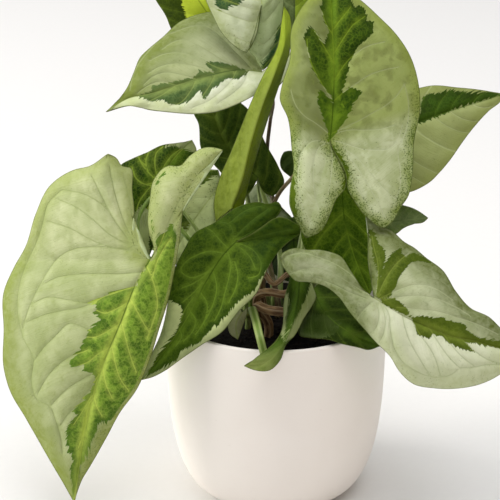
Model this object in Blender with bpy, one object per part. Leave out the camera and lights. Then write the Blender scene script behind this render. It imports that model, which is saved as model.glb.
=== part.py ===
"""Arrowhead plant in a plain white pot.

World frame: the origin is the centre of the pot's foot, +Z is up and the viewer stands at -Y.
Working sizes are millimetres; MM turns them into metres where a mesh is made.

A leaf is drawn the way a draughtsman would: on a sketch plane that passes through the centre
of the pot's rim and faces the viewer. Its points are (right, up) in mm from that centre, and
a third number says how many mm the leaf stands in front of the plane.
"""
import math

import bmesh
import bpy
import numpy as np
from mathutils import Vector

MM = 0.001

# Pot
POT_HEIGHT = 96.0
POT_RADIUS = 55.2
FOOT_RADIUS = 33.0
BELLY_POWER = 3.2
BELLY_ROOT = 2.3
WALL = 2.2
WELD = 0.02
CREASE = math.radians(50)
FLOOR_THICKNESS = 4.0
FLOOR_COVE = 5.0
RIM_ROUND = 0.65
FOOT_HEIGHTS = (0.0, 0.4, 1.5, 3.5, 7.0)
INNER_HEIGHTS = (12.0, 19.0, 28.0, 40.0, 54.0, 70.0, 85.0)
POT_SEGMENTS = 32

# Soil
SOIL_LEVEL = 87.0
MOUND_HEIGHT = 6.0
MOUND_RADIUS = 22.0
SOIL_RINGS = (5.0, 10.0, 15.0, 20.0, 25.0, 30.0, 36.0, 45.0)
TOUCH_GAP = 0.3

# Leaves and stalks
LEAF_THICKNESS = 0.7
RIB_ROWS = 8
LOBE_ROWS = 3
BLADE_COLUMNS = 2
NOTCH_COLUMNS = 1
SIDE_VEIN_TILT = math.radians(18)
FIRST_SHARE = 0.25
LAST_SHARE = 0.85
FULL_SWELL_REACH = 30.0
STALK_SIDES = 6
STALK_STEPS = 10
STALK_RISE = 6.0
ROOT_STEPS = 16
STALK_SEAT = 0.5
STALK_DROP = 0.6
KNOT_DISH = 0.45

# Sketch plane and the viewer's eye
LOOK_DOWN = math.radians(21.4)
EYE_DISTANCE = 1000.0
EYE_LEFT = 13.0
EYE_UP = 28.0
SIDE = Vector((1.0, 0.0, 0.0))
UP = Vector((0.0, math.sin(LOOK_DOWN), math.cos(LOOK_DOWN)))
NEAR = Vector((0.0, -math.cos(LOOK_DOWN), math.sin(LOOK_DOWN)))
RIM_CENTRE = Vector((0.0, 0.0, POT_HEIGHT))
EYE = RIM_CENTRE + EYE_DISTANCE * NEAR - EYE_LEFT * SIDE + EYE_UP * UP

# Blade colours, linear RGB
CREAM = (0.48, 0.56, 0.33)
GREY_GREEN = (0.26, 0.33, 0.18)
LIME = (0.30, 0.42, 0.05)
MID_GREEN = (0.09, 0.17, 0.03)
DARK_GREEN = (0.03, 0.07, 0.01)

# Every blade: rib runs from tip to knot, the point where the stalk joins. Each half has its outer
# edge from tip to lobe, the end of the lobe, the notch edge from lobe to knot, and slope, the mm
# that the half comes forward for each mm away from its veins.
LEAVES = {
    "leaf_front_left": {
        "colour": CREAM,
        "rib": [(-101, -98, 16), (-95, -60, 34), (-88, -33, 43), (-78, -9, 49), (-68, 15, 50),
                (-63, 23, 49)],
        "west": {
            "edge": [(-106, -89), (-113, -77), (-125, -56), (-133, -42), (-136, -31), (-136, -12),
                     (-136, 7), (-131, 19), (-125, 30), (-120, 46), (-113, 60), (-101, 68), (-93, 70)],
            "lobe": (-84, 76, 49),
            "notch": [(-80, 74), (-77, 70), (-73, 69), (-71, 58), (-69, 46), (-70, 36), (-68, 28)],
            "slope": -0.48},
        "east": {
            "edge": [(-97, -87), (-93, -80), (-85, -66), (-78, -53), (-70, -42), (-63, -26), (-59, -13),
                     (-54, 3), (-50, 22), (-48, 35), (-47, 45), (-46, 54), (-38, 66), (-31, 74)],
            "lobe": (-27, 78, 62),
            "notch": [(-30, 79), (-36, 79), (-43, 75), (-48, 70), (-54, 70), (-61, 63), (-63, 53),
                      (-64, 42), (-63, 35), (-61, 27)],
            "slope": -0.22},
        "belly": 5.0},
    "leaf_front_middle": {
        "colour": MID_GREEN,
        "rib": [(-67, -37, 31), (-53, -19, 35), (-45, -7, 38), (-35, 12, 40), (-25, 27, 40), (-20, 32, 39)],
        "west": {
            "edge": [(-64, -28), (-58, -15), (-55, -4), (-53, 8), (-50, 20), (-46, 28), (-41, 36),
                     (-30, 42), (-20, 49), (-15, 51), (-9, 52), (-4, 51), (1, 52)],
            "lobe": (3, 49, 36),
            "notch": [(1, 46), (-7, 42), (-15, 37)],
            "slope": -0.20},
        "east": {
            "edge": [(-63, -36), (-55, -32), (-48, -27), (-38, -20), (-27, -13), (-18, -2), (-10, 6),
                     (-5, 17), (2, 28), (9, 34)],
            "lobe": (12, 36, 42),
            "notch": [(11, 41), (2, 41), (-6, 37), (-14, 34)],
            "slope": 0.42},
        "belly": 2.0},
    "leaf_over_rim": {
        "colour": MID_GREEN,
        "rib": [(-16, -30, 60), (-3, -27, 62), (3, -20, 59), (8, -9, 51), (11, 3, 44), (12, 15, 37)],
        "west": {
            "edge": [(-13, -28), (-6, -23), (0, -18), (3, -12), (4, 3), (7, 14)],
            "lobe": (7, 22, 34),
            "notch": [(10, 18)],
            "slope": 0.10},
        "east": {
            "edge": [(-11, -32), (-3, -32), (2, -27), (5, -19), (9, -15), (14, -6), (18, 0), (20, 4),
                     (18, 11)],
            "lobe": (17, 22, 34),
            "notch": [(14, 18)],
            "slope": -0.20},
        "belly": 0.8},
    "leaf_front_right": {
        "colour": CREAM,
        "rib": [(122, -23, 38), (112, -21, 43), (97, -17, 48), (87, -15, 50), (77, -11, 52), (62, -4, 54),
                (54, 1, 54), (49, 4, 54)],
        "west": {
            "edge": [(112, -34), (102, -39), (92, -41), (79, -41), (69, -39), (62, -33), (57, -25), (50, -18),
                     (42, -9), (37, -3), (32, 4), (24, 10), (17, 12), (9, 13), (7, 15), (3, 21)],
            "lobe": (2, 24, 52),
            "notch": [(3, 26), (6, 28), (10, 29), (16, 28), (22, 28), (27, 27), (32, 25), (37, 18), (44, 8)],
            "slope": -0.02},
        "east": {
            "edge": [(118, -17), (112, -11), (107, -6), (97, -1), (90, 7), (83, 18), (75, 24), (69, 29),
                     (64, 32), (57, 38), (51, 40)],
            "lobe": (45, 45, 32),
            "notch": [(46, 35), (46, 23), (48, 10)],
            "slope": -0.55},
        "belly": 4.0},
    "leaf_hanging_green": {
        "colour": MID_GREEN,
        "rib": [(47, 6, 14), (38, 28, 18), (34, 45, 20), (33, 62, 21)],
        "west": {
            "edge": [(38, 8), (27, 17), (18, 24), (13, 33), (13, 42), (16, 53)],
            "lobe": (21, 63, 18),
            "notch": [(27, 62)],
            "slope": -0.20},
        "east": {
            "edge": [(49, 10), (50, 20), (49, 30), (48, 40), (45, 50)],
            "lobe": (43, 59, 18),
            "notch": [(38, 61)],
            "slope": -0.30},
        "belly": 1.5},
    "leaf_upright": {
        "colour": CREAM,
        "rib": [(27, 163, 42), (28, 143, 48), (29, 113, 50), (28, 93, 47), (27, 83, 45)],
        "west": {
            "edge": [(23, 159), (16, 153), (8, 139), (7, 123), (3, 110), (2, 104), (6, 94), (8, 78), (9, 70),
                     (7, 58), (7, 50), (8, 47), (13, 37)],
            "lobe": (15, 34, 40),
            "notch": [(18, 35), (22, 37), (27, 46), (30, 55), (34, 61), (35, 66), (34, 71), (32, 76)],
            "slope": -0.14},
        "east": {
            "edge": [(34, 158), (42, 153), (52, 144), (59, 137), (67, 125), (71, 112), (72, 98), (69, 83),
                     (68, 65), (66, 55), (62, 49), (58, 42)],
            "lobe": (54, 39, 40),
            "notch": [(51, 40), (47, 43), (43, 47), (40, 51), (38, 57), (37, 63), (37, 69), (36, 75),
                      (32, 81)],
            "slope": -0.18},
        "belly": 4.0},
    "leaf_young_rolled": {
        "colour": LIME,
        "rib": [(4, 150, 36), (4, 130, 37), (0, 118, 36), (-7, 100, 34), (-13, 80, 32), (-17, 63, 29),
                (-22, 49, 26)],
        "west": {
            "edge": [(3, 143), (1, 130), (-7, 114), (-14, 98), (-22, 78), (-28, 64), (-31, 50)],
            "lobe": (-30, 42, 20),
            "notch": [(-26, 46)],
            "slope": -0.60},
        "east": {
            "edge": [(6, 144), (6, 128), (2, 113), (-4, 94), (-9, 78), (-14, 60)],
            "lobe": (-17, 47, 21),
            "notch": [(-19, 48)],
            "slope": -0.80},
        "belly": 1.0},
    "leaf_upper_left": {
        "colour": CREAM,
        "rib": [(-85, 97, 26), (-73, 104, 29), (-63, 106, 29), (-50, 110, 28), (-30, 116, 25),
                (-18, 118, 23), (-7, 117, 22)],
        "west": {
            "edge": [(-81, 101), (-75, 108), (-71, 117), (-68, 124), (-63, 129), (-57, 134), (-48, 142),
                     (-38, 146), (-25, 147), (-15, 143)],
            "lobe": (-6, 137, 12),
            "notch": [(-8, 130), (-9, 124)],
            "slope": -0.65},
        "east": {
            "edge": [(-73, 100), (-63, 98), (-55, 97), (-39, 96), (-30, 97), (-19, 101), (-9, 106),
                     (0, 109), (5, 115)],
            "lobe": (8, 124, 20),
            "notch": [(4, 122), (-2, 120)],
            "slope": 0.40},
        "belly": 2.0},
    "leaf_top_centre": {
        "colour": CREAM,
        "rib": [(-17, 195, 18), (-13, 178, 26), (-9, 163, 30), (-7, 151, 31)],
        "west": {
            "edge": [(-27, 190), (-36, 178), (-39, 166), (-35, 153), (-31, 144), (-28, 138), (-23, 132),
                     (-18, 128)],
            "lobe": (-14, 126, 29),
            "notch": [(-12, 130), (-10, 136), (-9, 141), (-8, 147)],
            "slope": -0.15},
        "east": {
            "edge": [(-6, 190), (2, 178), (6, 166), (4, 153), (2, 143), (1, 134), (-3, 130)],
            "lobe": (-7, 121, 24),
            "notch": [(-9, 127), (-8, 135), (-7, 143)],
            "slope": -0.25},
        "belly": 2.0},
    "leaf_top_left": {
        "colour": LIME,
        "rib": [(-58, 190, -14), (-42, 158, -6), (-32, 143, -5)],
        "west": {
            "edge": [(-64, 180), (-66, 168), (-60, 153), (-55, 145), (-52, 138), (-46, 131)],
            "lobe": (-40, 126, -6),
            "notch": [(-36, 130), (-33, 137)],
            "slope": -0.30},
        "east": {
            "edge": [(-48, 188), (-36, 180), (-28, 170), (-23, 158), (-19, 146)],
            "lobe": (-18, 134, -8),
            "notch": [(-24, 136), (-29, 140)],
            "slope": -0.30},
        "belly": 2.0},
    "leaf_top_back": {
        "colour": LIME,
        "rib": [(7, 183, -4), (9, 160, 1), (9, 137, 3)],
        "west": {
            "edge": [(0, 178), (-4, 166), (-6, 153), (-6.5, 143), (-6.5, 133), (-6, 125)],
            "lobe": (-3, 119, -4),
            "notch": [(2, 122), (6, 129)],
            "slope": -0.25},
        "east": {
            "edge": [(14, 178), (20, 165), (21, 150), (18, 138)],
            "lobe": (15, 127, 2),
            "notch": [(12, 131)],
            "slope": -0.25},
        "belly": 1.0},
    "leaf_right": {
        "colour": GREY_GREEN,
        "rib": [(114, 106, -6), (102, 102, 2), (92, 99, 6), (72, 92, 11), (50, 83, 12)],
        "west": {
            "edge": [(108, 107), (102, 108), (92, 109), (77, 110), (72, 109), (62, 107), (52, 104)],
            "lobe": (42, 99, 6),
            "notch": [(43, 92), (46, 86)],
            "slope": -0.50},
        "east": {
            "edge": [(112, 102), (107, 98), (102, 93), (94, 83), (87, 73), (82, 67), (77, 62), (72, 59),
                     (67, 57), (60, 57), (53, 60)],
            "lobe": (46, 66, 12),
            "notch": [(46, 74), (48, 79)],
            "slope": 0.15},
        "belly": 2.0},
    "leaf_small_right": {
        "colour": GREY_GREEN,
        "rib": [(76, 44, 8), (66, 43, 10), (54, 42, 10)],
        "west": {
            "edge": [(72, 47), (65, 50), (58, 51)],
            "lobe": (50, 50, 8),
            "notch": [(52, 46)],
            "slope": -0.30},
        "east": {
            "edge": [(74, 42), (69, 41), (64, 39), (60, 36), (55, 35)],
            "lobe": (50, 35, 9),
            "notch": [(52, 38)],
            "slope": 0.10},
        "belly": 0.8},
    "leaf_small_back": {
        "colour": DARK_GREEN,
        "rib": [(16, 60, -8), (14, 67, -8), (12, 72, -8)],
        "west": {
            "edge": [(11, 62), (6, 65.5), (2.8, 68.5), (2, 72.5)],
            "lobe": (4, 77, -9),
            "notch": [(8, 77.5), (10.5, 75)],
            "slope": -0.15},
        "east": {
            "edge": [(20, 63), (23, 70)],
            "lobe": (21, 78, -9),
            "notch": [(16, 77), (13.5, 75)],
            "slope": -0.15},
        "belly": 0.8},
    "leaf_back_dark": {
        "colour": DARK_GREEN,
        "rib": [(-38, 105, -7), (-32, 97, -4), (-27, 85, -2), (-23, 78, -2), (-9, 64, -2)],
        "west": {
            "edge": [(-41, 96), (-39, 92), (-37, 78), (-33, 73), (-27, 66), (-22, 58)],
            "lobe": (-18, 52, -4),
            "notch": [(-13, 57)],
            "slope": -0.20},
        "east": {
            "edge": [(-30, 106), (-20, 103), (-12, 96), (-7, 85), (-4, 79), (1, 70), (4, 61), (2, 57)],
            "lobe": (-2, 55, -4),
            "notch": [(-5, 56), (-8, 60)],
            "slope": -0.30},
        "belly": 1.5},
    "leaf_left_small": {
        "colour": DARK_GREEN,
        "rib": [(-42, 83, 26), (-50, 75, 29), (-59, 63, 29)],
        "west": {
            "edge": [(-46, 82), (-58, 80), (-64, 77), (-71, 74), (-78, 70), (-80, 60), (-79, 45), (-74, 32)],
            "lobe": (-68, 24, 26),
            "notch": [(-63, 36), (-61, 50)],
            "slope": -0.20},
        "east": {
            "edge": [(-40, 79), (-42, 70), (-46, 60), (-50, 52)],
            "lobe": (-55, 44, 27),
            "notch": [(-58, 50), (-59, 57)],
            "slope": -0.20},
        "belly": 1.5},
    "leaf_left_grey": {
        "colour": GREY_GREEN,
        "rib": [(-54, 22, 10), (-43, 40, 15), (-30, 58, 17)],
        "west": {
            "edge": [(-56, 34), (-55, 46), (-51, 57), (-45, 65), (-36, 68)],
            "lobe": (-29, 68, 14),
            "notch": [(-28, 64)],
            "slope": -0.20},
        "east": {
            "edge": [(-46, 20), (-34, 24), (-26, 34), (-21, 46)],
            "lobe": (-20, 56, 13),
            "notch": [(-25, 57)],
            "slope": -0.10},
        "belly": 1.5},
    "leaf_on_rim": {
        "colour": DARK_GREEN,
        "rib": [(52, -20, 40), (38, -14, 48), (27, -6, 44), (18, 8, 28)],
        "west": {
            "edge": [(46, -22), (42, -21), (33, -19), (27, -17), (17, -16), (12, -15), (11, -11), (13, -4)],
            "lobe": (14, 5, 28),
            "notch": [(16, 8)],
            "slope": 0.22},
        "east": {
            "edge": [(50, -13), (45, -4), (38, 4), (31, 10)],
            "lobe": (24, 14, 24),
            "notch": [(21, 11)],
            "slope": -0.30},
        "belly": 1.0},
    "leaf_low_left": {
        "colour": CREAM,
        "rib": [(-19, -17, 35), (-20, -9, 31), (-17, -3, 27)],
        "west": {
            "edge": [(-23, -14), (-24, -10), (-22, -6)],
            "lobe": (-19, 0, 25),
            "notch": [(-18, -1)],
            "slope": -0.20},
        "east": {
            "edge": [(-17, -11), (-15, -6)],
            "lobe": (-14, 0, 25),
            "notch": [(-15, -1)],
            "slope": -0.20},
        "belly": 0.3},
    "leaf_behind_crown": {
        "colour": DARK_GREEN,
        "rib": [(14, 11, -28), (10, 24, -27), (8, 44, -26)],
        "west": {
            "edge": [(4, 13), (-5, 20), (-9, 30), (-8, 40)],
            "lobe": (-3, 50, -28),
            "notch": [(3, 47)],
            "slope": -0.20},
        "east": {
            "edge": [(23, 13), (30, 20), (31, 32), (27, 43)],
            "lobe": (19, 51, -28),
            "notch": [(13, 47)],
            "slope": -0.20},
        "belly": 1.5},
    "leaf_back_low": {
        "colour": MID_GREEN,
        "rib": [(25, -6, -88), (19, 18, -72), (12, 36, -44)],
        "west": {
            "edge": [(15, 0), (7, 15), (-1, 28), (-3, 37)],
            "lobe": (1, 44, -40),
            "notch": [(7, 40)],
            "slope": 0.0},
        "east": {
            "edge": [(34, 1), (38, 14), (37, 27), (32, 38)],
            "lobe": (25, 46, -40),
            "notch": [(18, 41)],
            "slope": 0.0},
        "belly": -1.5,
        "faces_away": True},
    "leaf_back_right": {
        "colour": GREY_GREEN,
        "rib": [(56, 72, -60), (50, 88, -44), (40, 102, -26)],
        "west": {
            "edge": [(50, 68), (39, 72), (30, 82), (26, 94)],
            "lobe": (27, 106, -20),
            "notch": [(33, 106)],
            "slope": 0.15},
        "east": {
            "edge": [(62, 78), (64, 91), (60, 105)],
            "lobe": (52, 116, -16),
            "notch": [(46, 112)],
            "slope": 0.15},
        "belly": -1.5,
        "faces_away": True},
    "leaf_back_left": {
        "colour": MID_GREEN,
        "rib": [(-112, 22, -54), (-95, 30, -42), (-76, 36, -26)],
        "west": {
            "edge": [(-108, 33), (-97, 43), (-85, 49)],
            "lobe": (-73, 48, -20),
            "notch": [(-74, 42)],
            "slope": 0.20},
        "east": {
            "edge": [(-108, 13), (-96, 13), (-82, 17)],
            "lobe": (-68, 25, -22),
            "notch": [(-71, 31)],
            "slope": 0.20},
        "belly": -1.5,
        "faces_away": True},
}


def place(right, up, near):
    """World point in mm, seen at (right, up) on the sketch plane and `near` mm in front of it."""
    on_plane = RIM_CENTRE + float(right) * SIDE + float(up) * UP
    return on_plane.lerp(EYE, float(near) / EYE_DISTANCE)


def smooth(points, fractions):
    """Read a smooth curve through hand-set points at the given fractions of its length."""
    points = np.array(points, float)
    chord = np.linalg.norm(np.diff(points, axis=0), axis=1)
    along = np.concatenate([[0.0], np.cumsum(chord)])
    slope = np.gradient(points, along, axis=0) if len(points) > 2 else np.diff(points, axis=0) / chord
    slope = np.broadcast_to(slope, points.shape)
    read = []
    for target in np.asarray(fractions) * along[-1]:
        k = min(np.searchsorted(along, target, side="right") - 1, len(chord) - 1)
        step = chord[k]
        t = (target - along[k]) / step
        read.append((2 * t**3 - 3 * t**2 + 1) * points[k] + (t**3 - 2 * t**2 + t) * step * slope[k]
                    + (3 * t**2 - 2 * t**3) * points[k + 1] + (t**3 - t**2) * step * slope[k + 1])
    return np.array(read)


def side_vein_share(tip, knot, edge):
    """How far round the outer edge, from the tip, the side vein that leaves the knot ends."""
    shares = np.linspace(FIRST_SHARE, LAST_SHARE, 61)
    outline = smooth(edge, shares)
    to_tip = (tip - knot) / np.linalg.norm(tip - knot)
    across = np.array([-to_tip[1], to_tip[0]])
    away = outline - knot
    side = np.sign(np.sum(away @ across))
    vein = side * across * math.cos(SIDE_VEIN_TILT) + to_tip * math.sin(SIDE_VEIN_TILT)
    straight = (away @ vein) / np.linalg.norm(away, axis=1)
    return shares[np.argmax(straight)]


def half_blade(rib, half, belly):
    """Two strips of surface: from the veins to the outer edge, and from the lobe's vein to the notch."""
    rib = np.array(rib, float)
    tip, knot, lobe = rib[0], rib[-1], np.array(half["lobe"], float)
    edge = [tip[:2]] + [np.array(p, float) for p in half["edge"]] + [lobe[:2]]
    notch = [lobe[:2]] + [np.array(p, float) for p in half["notch"]] + [knot[:2]]
    share = side_vein_share(tip[:2], knot[:2], edge)
    rib_steps = np.linspace(0.0, 1.0, RIB_ROWS + 1)
    lobe_steps = np.linspace(0.0, 1.0, LOBE_ROWS + 1)
    lobe_vein = knot + (lobe - knot) * lobe_steps[:, None]
    spine = np.vstack([smooth(rib, rib_steps), lobe_vein[1:]])
    rim = smooth(edge, np.concatenate([rib_steps * share, share + (1 - share) * lobe_steps[1:]]))
    inner = smooth(notch, 1.0 - lobe_steps)
    return [strip(spine, rim, half["slope"], BLADE_COLUMNS, belly),
            strip(lobe_vein, inner, half["slope"], NOTCH_COLUMNS, belly)]


def strip(spine, rim, slope, columns, belly):
    """Grid of world points between a vein and an edge; the middle swells towards the viewer."""
    rows = []
    for start, end in zip(spine, rim):
        reach = np.linalg.norm(end - start[:2])
        swell = belly * min(1.0, reach / FULL_SWELL_REACH)
        row = []
        for share in np.linspace(0.0, 1.0, columns + 1):
            right, up = start[:2] + (end - start[:2]) * share
            near = start[2] + slope * reach * share + swell * math.sin(math.pi * share)
            row.append(place(right, up, near))
        rows.append(row)
    return rows


def finish_object(name, mesh, colour, roughness):
    """Give a mesh its object, its smooth shading and its own material."""
    mesh.shade_smooth()
    mesh.set_sharp_from_angle(angle=CREASE)
    made = bpy.data.objects.new(name, mesh)
    bpy.context.scene.collection.objects.link(made)
    material = bpy.data.materials.new(name)
    material.use_nodes = True
    shader = material.node_tree.nodes["Principled BSDF"]
    shader.inputs["Base Color"].default_value = (*colour, 1.0)
    shader.inputs["Roughness"].default_value = roughness
    shader.inputs["Metallic"].default_value = 0.0
    mesh.materials.append(material)
    return made


def grid_faces(bm, rows, closed):
    """Join rows of points with quads; a closed row joins its last point to its first."""
    made = [[bm.verts.new(point * MM) for point in row] for row in rows]
    for lower, upper in zip(made, made[1:]):
        count = len(lower) if closed else len(lower) - 1
        for k in range(count):
            after = (k + 1) % len(lower)
            bm.faces.new((lower[k], lower[after], upper[after], upper[k]))
    return made


def build_leaf(name, leaf):
    """A blade: four strips of surface welded along the veins, then made solid."""
    bm = bmesh.new()
    for side in ("west", "east"):
        for rows in half_blade(leaf["rib"], leaf[side], leaf["belly"]):
            grid_faces(bm, rows, closed=False)
    bmesh.ops.remove_doubles(bm, verts=bm.verts[:], dist=WELD * MM)
    bmesh.ops.recalc_face_normals(bm, faces=bm.faces[:])
    mesh = bpy.data.meshes.new(name)
    bm.to_mesh(mesh)
    bm.free()
    made = finish_object(name, mesh, leaf["colour"], 0.45)
    solid = made.modifiers.new("thickness", "SOLIDIFY")
    solid.thickness = LEAF_THICKNESS * MM
    solid.offset = 0.0
    return made


def build_tube(name, route, radii, colour, roughness, flatten=1.0, steps=STALK_STEPS, sides=STALK_SIDES):
    """A stalk along a smooth curve through the route; radii run from its first end to its last."""
    shares = np.linspace(0.0, 1.0, steps + 1)
    centres = [Vector(point) for point in smooth(route, shares)]
    widths = np.interp(shares, np.linspace(0.0, 1.0, len(radii)), radii)
    ahead = (centres[1] - centres[0]).normalized()
    across = ahead.cross(NEAR)
    across = (across if across.length > 0.2 else ahead.cross(SIDE)).normalized()
    rings = []
    for k, centre in enumerate(centres):
        ahead = (centres[min(k + 1, steps)] - centres[max(k - 1, 0)]).normalized()
        across = (across - ahead * across.dot(ahead)).normalized()
        over = ahead.cross(across)
        angles = [2 * math.pi * n / sides for n in range(sides)]
        radius = float(widths[k])
        ring = [math.cos(a) * across + flatten * math.sin(a) * over for a in angles]
        rings.append([centre + radius * spoke for spoke in ring])
    bm = bmesh.new()
    made = grid_faces(bm, rings, closed=True)
    bm.faces.new(made[0])
    bm.faces.new(made[-1])
    bmesh.ops.recalc_face_normals(bm, faces=bm.faces[:])
    mesh = bpy.data.meshes.new(name)
    bm.to_mesh(mesh)
    bm.free()
    return finish_object(name, mesh, colour, roughness)


def turned(name, profile, colour, roughness, segments=POT_SEGMENTS):
    """Spin a closed profile of (radius, height) points round the pot's axis."""
    bm = bmesh.new()
    angles = [2 * math.pi * n / segments for n in range(segments)]
    rings = [[Vector((r * math.cos(a), r * math.sin(a), z)) for a in angles] for r, z in profile]
    grid_faces(bm, rings, closed=True)
    bmesh.ops.remove_doubles(bm, verts=bm.verts[:], dist=WELD * MM)
    bmesh.ops.holes_fill(bm, edges=bm.edges[:], sides=0)
    bmesh.ops.recalc_face_normals(bm, faces=bm.faces[:])
    mesh = bpy.data.meshes.new(name)
    bm.to_mesh(mesh)
    bm.free()
    return finish_object(name, mesh, colour, roughness)


def pot_radius(height):
    """Outer radius of the pot at a height in mm: a narrow foot that swells into a near-straight wall."""
    t = min(max(height / POT_HEIGHT, 0.0), 1.0)
    return FOOT_RADIUS + (POT_RADIUS - FOOT_RADIUS) * (1 - (1 - t) ** BELLY_POWER) ** (1 / BELLY_ROOT)


def pot_lining(shrink):
    """Profile of the pot's inside, from the wall down to the floor, drawn in by a clearance."""
    wall = [(pot_radius(h) - WALL - shrink, h) for h in reversed(INNER_HEIGHTS)]
    return wall + [(pot_radius(FLOOR_THICKNESS) - WALL - FLOOR_COVE - shrink, FLOOR_THICKNESS + shrink)]


def build_pot():
    foot = [(pot_radius(h), h) for h in FOOT_HEIGHTS]
    wall = [(pot_radius(h), h) for h in INNER_HEIGHTS]
    rim = [(POT_RADIUS, POT_HEIGHT - RIM_ROUND),
           (POT_RADIUS - RIM_ROUND, POT_HEIGHT),
           (POT_RADIUS - WALL + RIM_ROUND, POT_HEIGHT),
           (POT_RADIUS - WALL, POT_HEIGHT - RIM_ROUND)]
    return turned("pot", foot + wall + rim + pot_lining(0.0), (0.85, 0.83, 0.80), 0.55)


def soil_height(x, y):
    """Height of the soil in mm: level at the wall, heaped round the crown of stems."""
    spread = (x * x + y * y) / (MOUND_RADIUS * MOUND_RADIUS)
    return SOIL_LEVEL + MOUND_HEIGHT * math.exp(-spread)


def build_soil():
    edge = [(POT_RADIUS - WALL - TOUCH_GAP, SOIL_LEVEL)]
    top = [(r, soil_height(r, 0.0)) for r in SOIL_RINGS]
    return turned("soil", top + edge + pot_lining(TOUCH_GAP), (0.02, 0.013, 0.01), 0.95)


def under_side(leaf):
    """Direction square to the blade at its knot, on the side where the stalk joins."""
    knot = place(*leaf["rib"][-1])
    along = place(*leaf["rib"][-2]) - knot
    across = place(*leaf["east"]["lobe"]) - place(*leaf["west"]["lobe"])
    square = along.cross(across).normalized()
    away = NEAR if leaf.get("faces_away") else -NEAR
    return square if square.dot(away) > 0.0 else -square


def knot_seat(leaf, radius):
    """End of a leaf's stalk: just under the knot, clear of the fold along the rib."""
    fold = 0.5 * abs(leaf["west"]["slope"] + leaf["east"]["slope"])
    under = 0.5 * LEAF_THICKNESS + radius * (fold + KNOT_DISH) + STALK_SEAT
    return place(*leaf["rib"][-1]) + under_side(leaf) * under


# Stalks: where each leaf's stalk leaves the soil (x, y in mm), the sketch-plane points that it
# is led through on its way up, and how far it runs straight back behind its knot.
STALKS = {
    "leaf_front_left": ((-12, -4), [(-20, 18, 22), (-38, 28, 27), (-52, 44, 38), (-61, 55, 42),
                                    (-67, 48, 42), (-69, 36, 42)], 4),
    "leaf_front_middle": ((-8, -8), [(-11, 12, 12), (-16, 24, 18)], 7),
    "leaf_over_rim": ((13, -16), [(14, 2, 20), (13, 10, 27)], 4),
    "leaf_front_right": ((17, -8), [(24, 2, 18), (38, 6, 32)], 8),
    "leaf_hanging_green": ((14, -1), [(19, 20, 2), (28, 48, 8)], 6),
    "leaf_upright": ((1, -5), [(-3, 20, 6), (-4, 40, 14), (2, 57, 24), (8, 64, 28), (18, 76, 33)], 7),
    "leaf_young_rolled": ((-4, -1), [(-8, 12, 8), (-14, 28, 16), (-19, 40, 19)], 4),
    "leaf_upper_left": ((-7, 8), [(-5, 24, -12), (-1.5, 48, -14), (-4.5, 76, -11), (-2.8, 93, -2),
                                  (-1.5, 103, 7)], 5),
    "leaf_top_centre": ((2, 12), [(2, 25, -19), (-4, 48, -21), (-10, 70, -19), (-9, 90, -14), (-5, 106, -5),
                                  (1.5, 118, 3), (1.5, 132, 7), (0, 143, 14)], 7),
    "leaf_top_left": ((-8, 13), [(-10, 30, -16), (-18, 70, -20), (-27, 110, -18)], 8),
    "leaf_top_back": ((8, 12), [(12, 30, -16), (20, 70, -22), (19, 105, -18)], 8),
    "leaf_right": ((15, 7), [(19, 30, -6), (34, 64, 0)], 8),
    "leaf_small_right": ((19, 1), [(32, 20, -2), (46, 34, 2)], 5),
    "leaf_small_back": ((10, 3), [(13, 25, -8), (14, 50, -13)], 4),
    "leaf_back_dark": ((-1, 2), [(-3, 20, -6), (-7, 45, -10)], 5),
    "leaf_left_small": ((-15, 3), [(-20, 12, 12), (-34, 30, 20), (-47, 48, 22)], 4),
    "leaf_left_grey": ((-10, 6), [(-14, 20, 2), (-24, 42, 7)], 5),
    "leaf_on_rim": ((17, -13), [(17, 0, 16)], 5),
    "leaf_low_left": ((-14, -13), [], 3),
    "leaf_behind_crown": ((8, 24), [(8, 10, -30), (8, 28, -37)], 6),
    "leaf_back_low": ((20, 34), [(19, 20, -37)], 3),
    "leaf_back_right": ((20, 16), [(33, 30, -18), (36, 70, -20)], 4),
    "leaf_back_left": ((-16, 12), [(-32, 18, -14), (-58, 28, -18)], 4),
}
STALK_RADII = (1.7, 1.3, 1.1, 0.9)


def build_stalk(name, leaf, stalk):
    foot, via, back = stalk
    seat = knot_seat(leaf, STALK_RADII[-1])
    led = [place(*point) for point in via]
    from_below = bool(via) and via[-1][1] < leaf["rib"][-1][1]
    sink = STALK_DROP * back if from_below else 0.0
    route = [*rise_from_soil(*foot), *led, seat + under_side(leaf) * back - UP * sink, seat]
    return build_tube(name, route, STALK_RADII, (0.16, 0.20, 0.06), 0.5)


def rise_from_soil(x, y):
    """First two points of anything that grows up out of the soil at (x, y)."""
    uphill = max(0.0, 1.0 - STALK_RADII[0] / max(math.hypot(x, y), STALK_RADII[0]))
    ground = soil_height(x * uphill, y * uphill) + STALK_SEAT
    return [Vector((x, y, ground)), Vector((x, y, ground + STALK_RISE))]


# Aerial roots: both ends stand in the soil at (x, y), the middle loops round the crown.
ROOTS = {
    "aerial_root_high": ((-5, -14), [(-7, 8, 18), (-6, 16, 22), (-1, 11, 27), (6, 16, 24), (9, 12, 16)],
                         (7, -11), 1.3),
    "aerial_root_middle": ((-9, -17), [(-9, 5, 22), (-3, 7, 28), (3, 6, 29), (8, 7, 25)], (9, -15), 1.9),
    "aerial_root_low": ((-4, -21), [(-9, 0, 26), (-4, -2, 31), (3, -3, 31), (8, -3, 26)], (6, -20), 2.2),
}


def build_root(name, root):
    first, via, last, radius = root
    route = [*rise_from_soil(*first), *[place(*point) for point in via], *reversed(rise_from_soil(*last))]
    build_tube(name, route, (radius,), (0.35, 0.22, 0.12), 0.6, steps=ROOT_STEPS)


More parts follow.
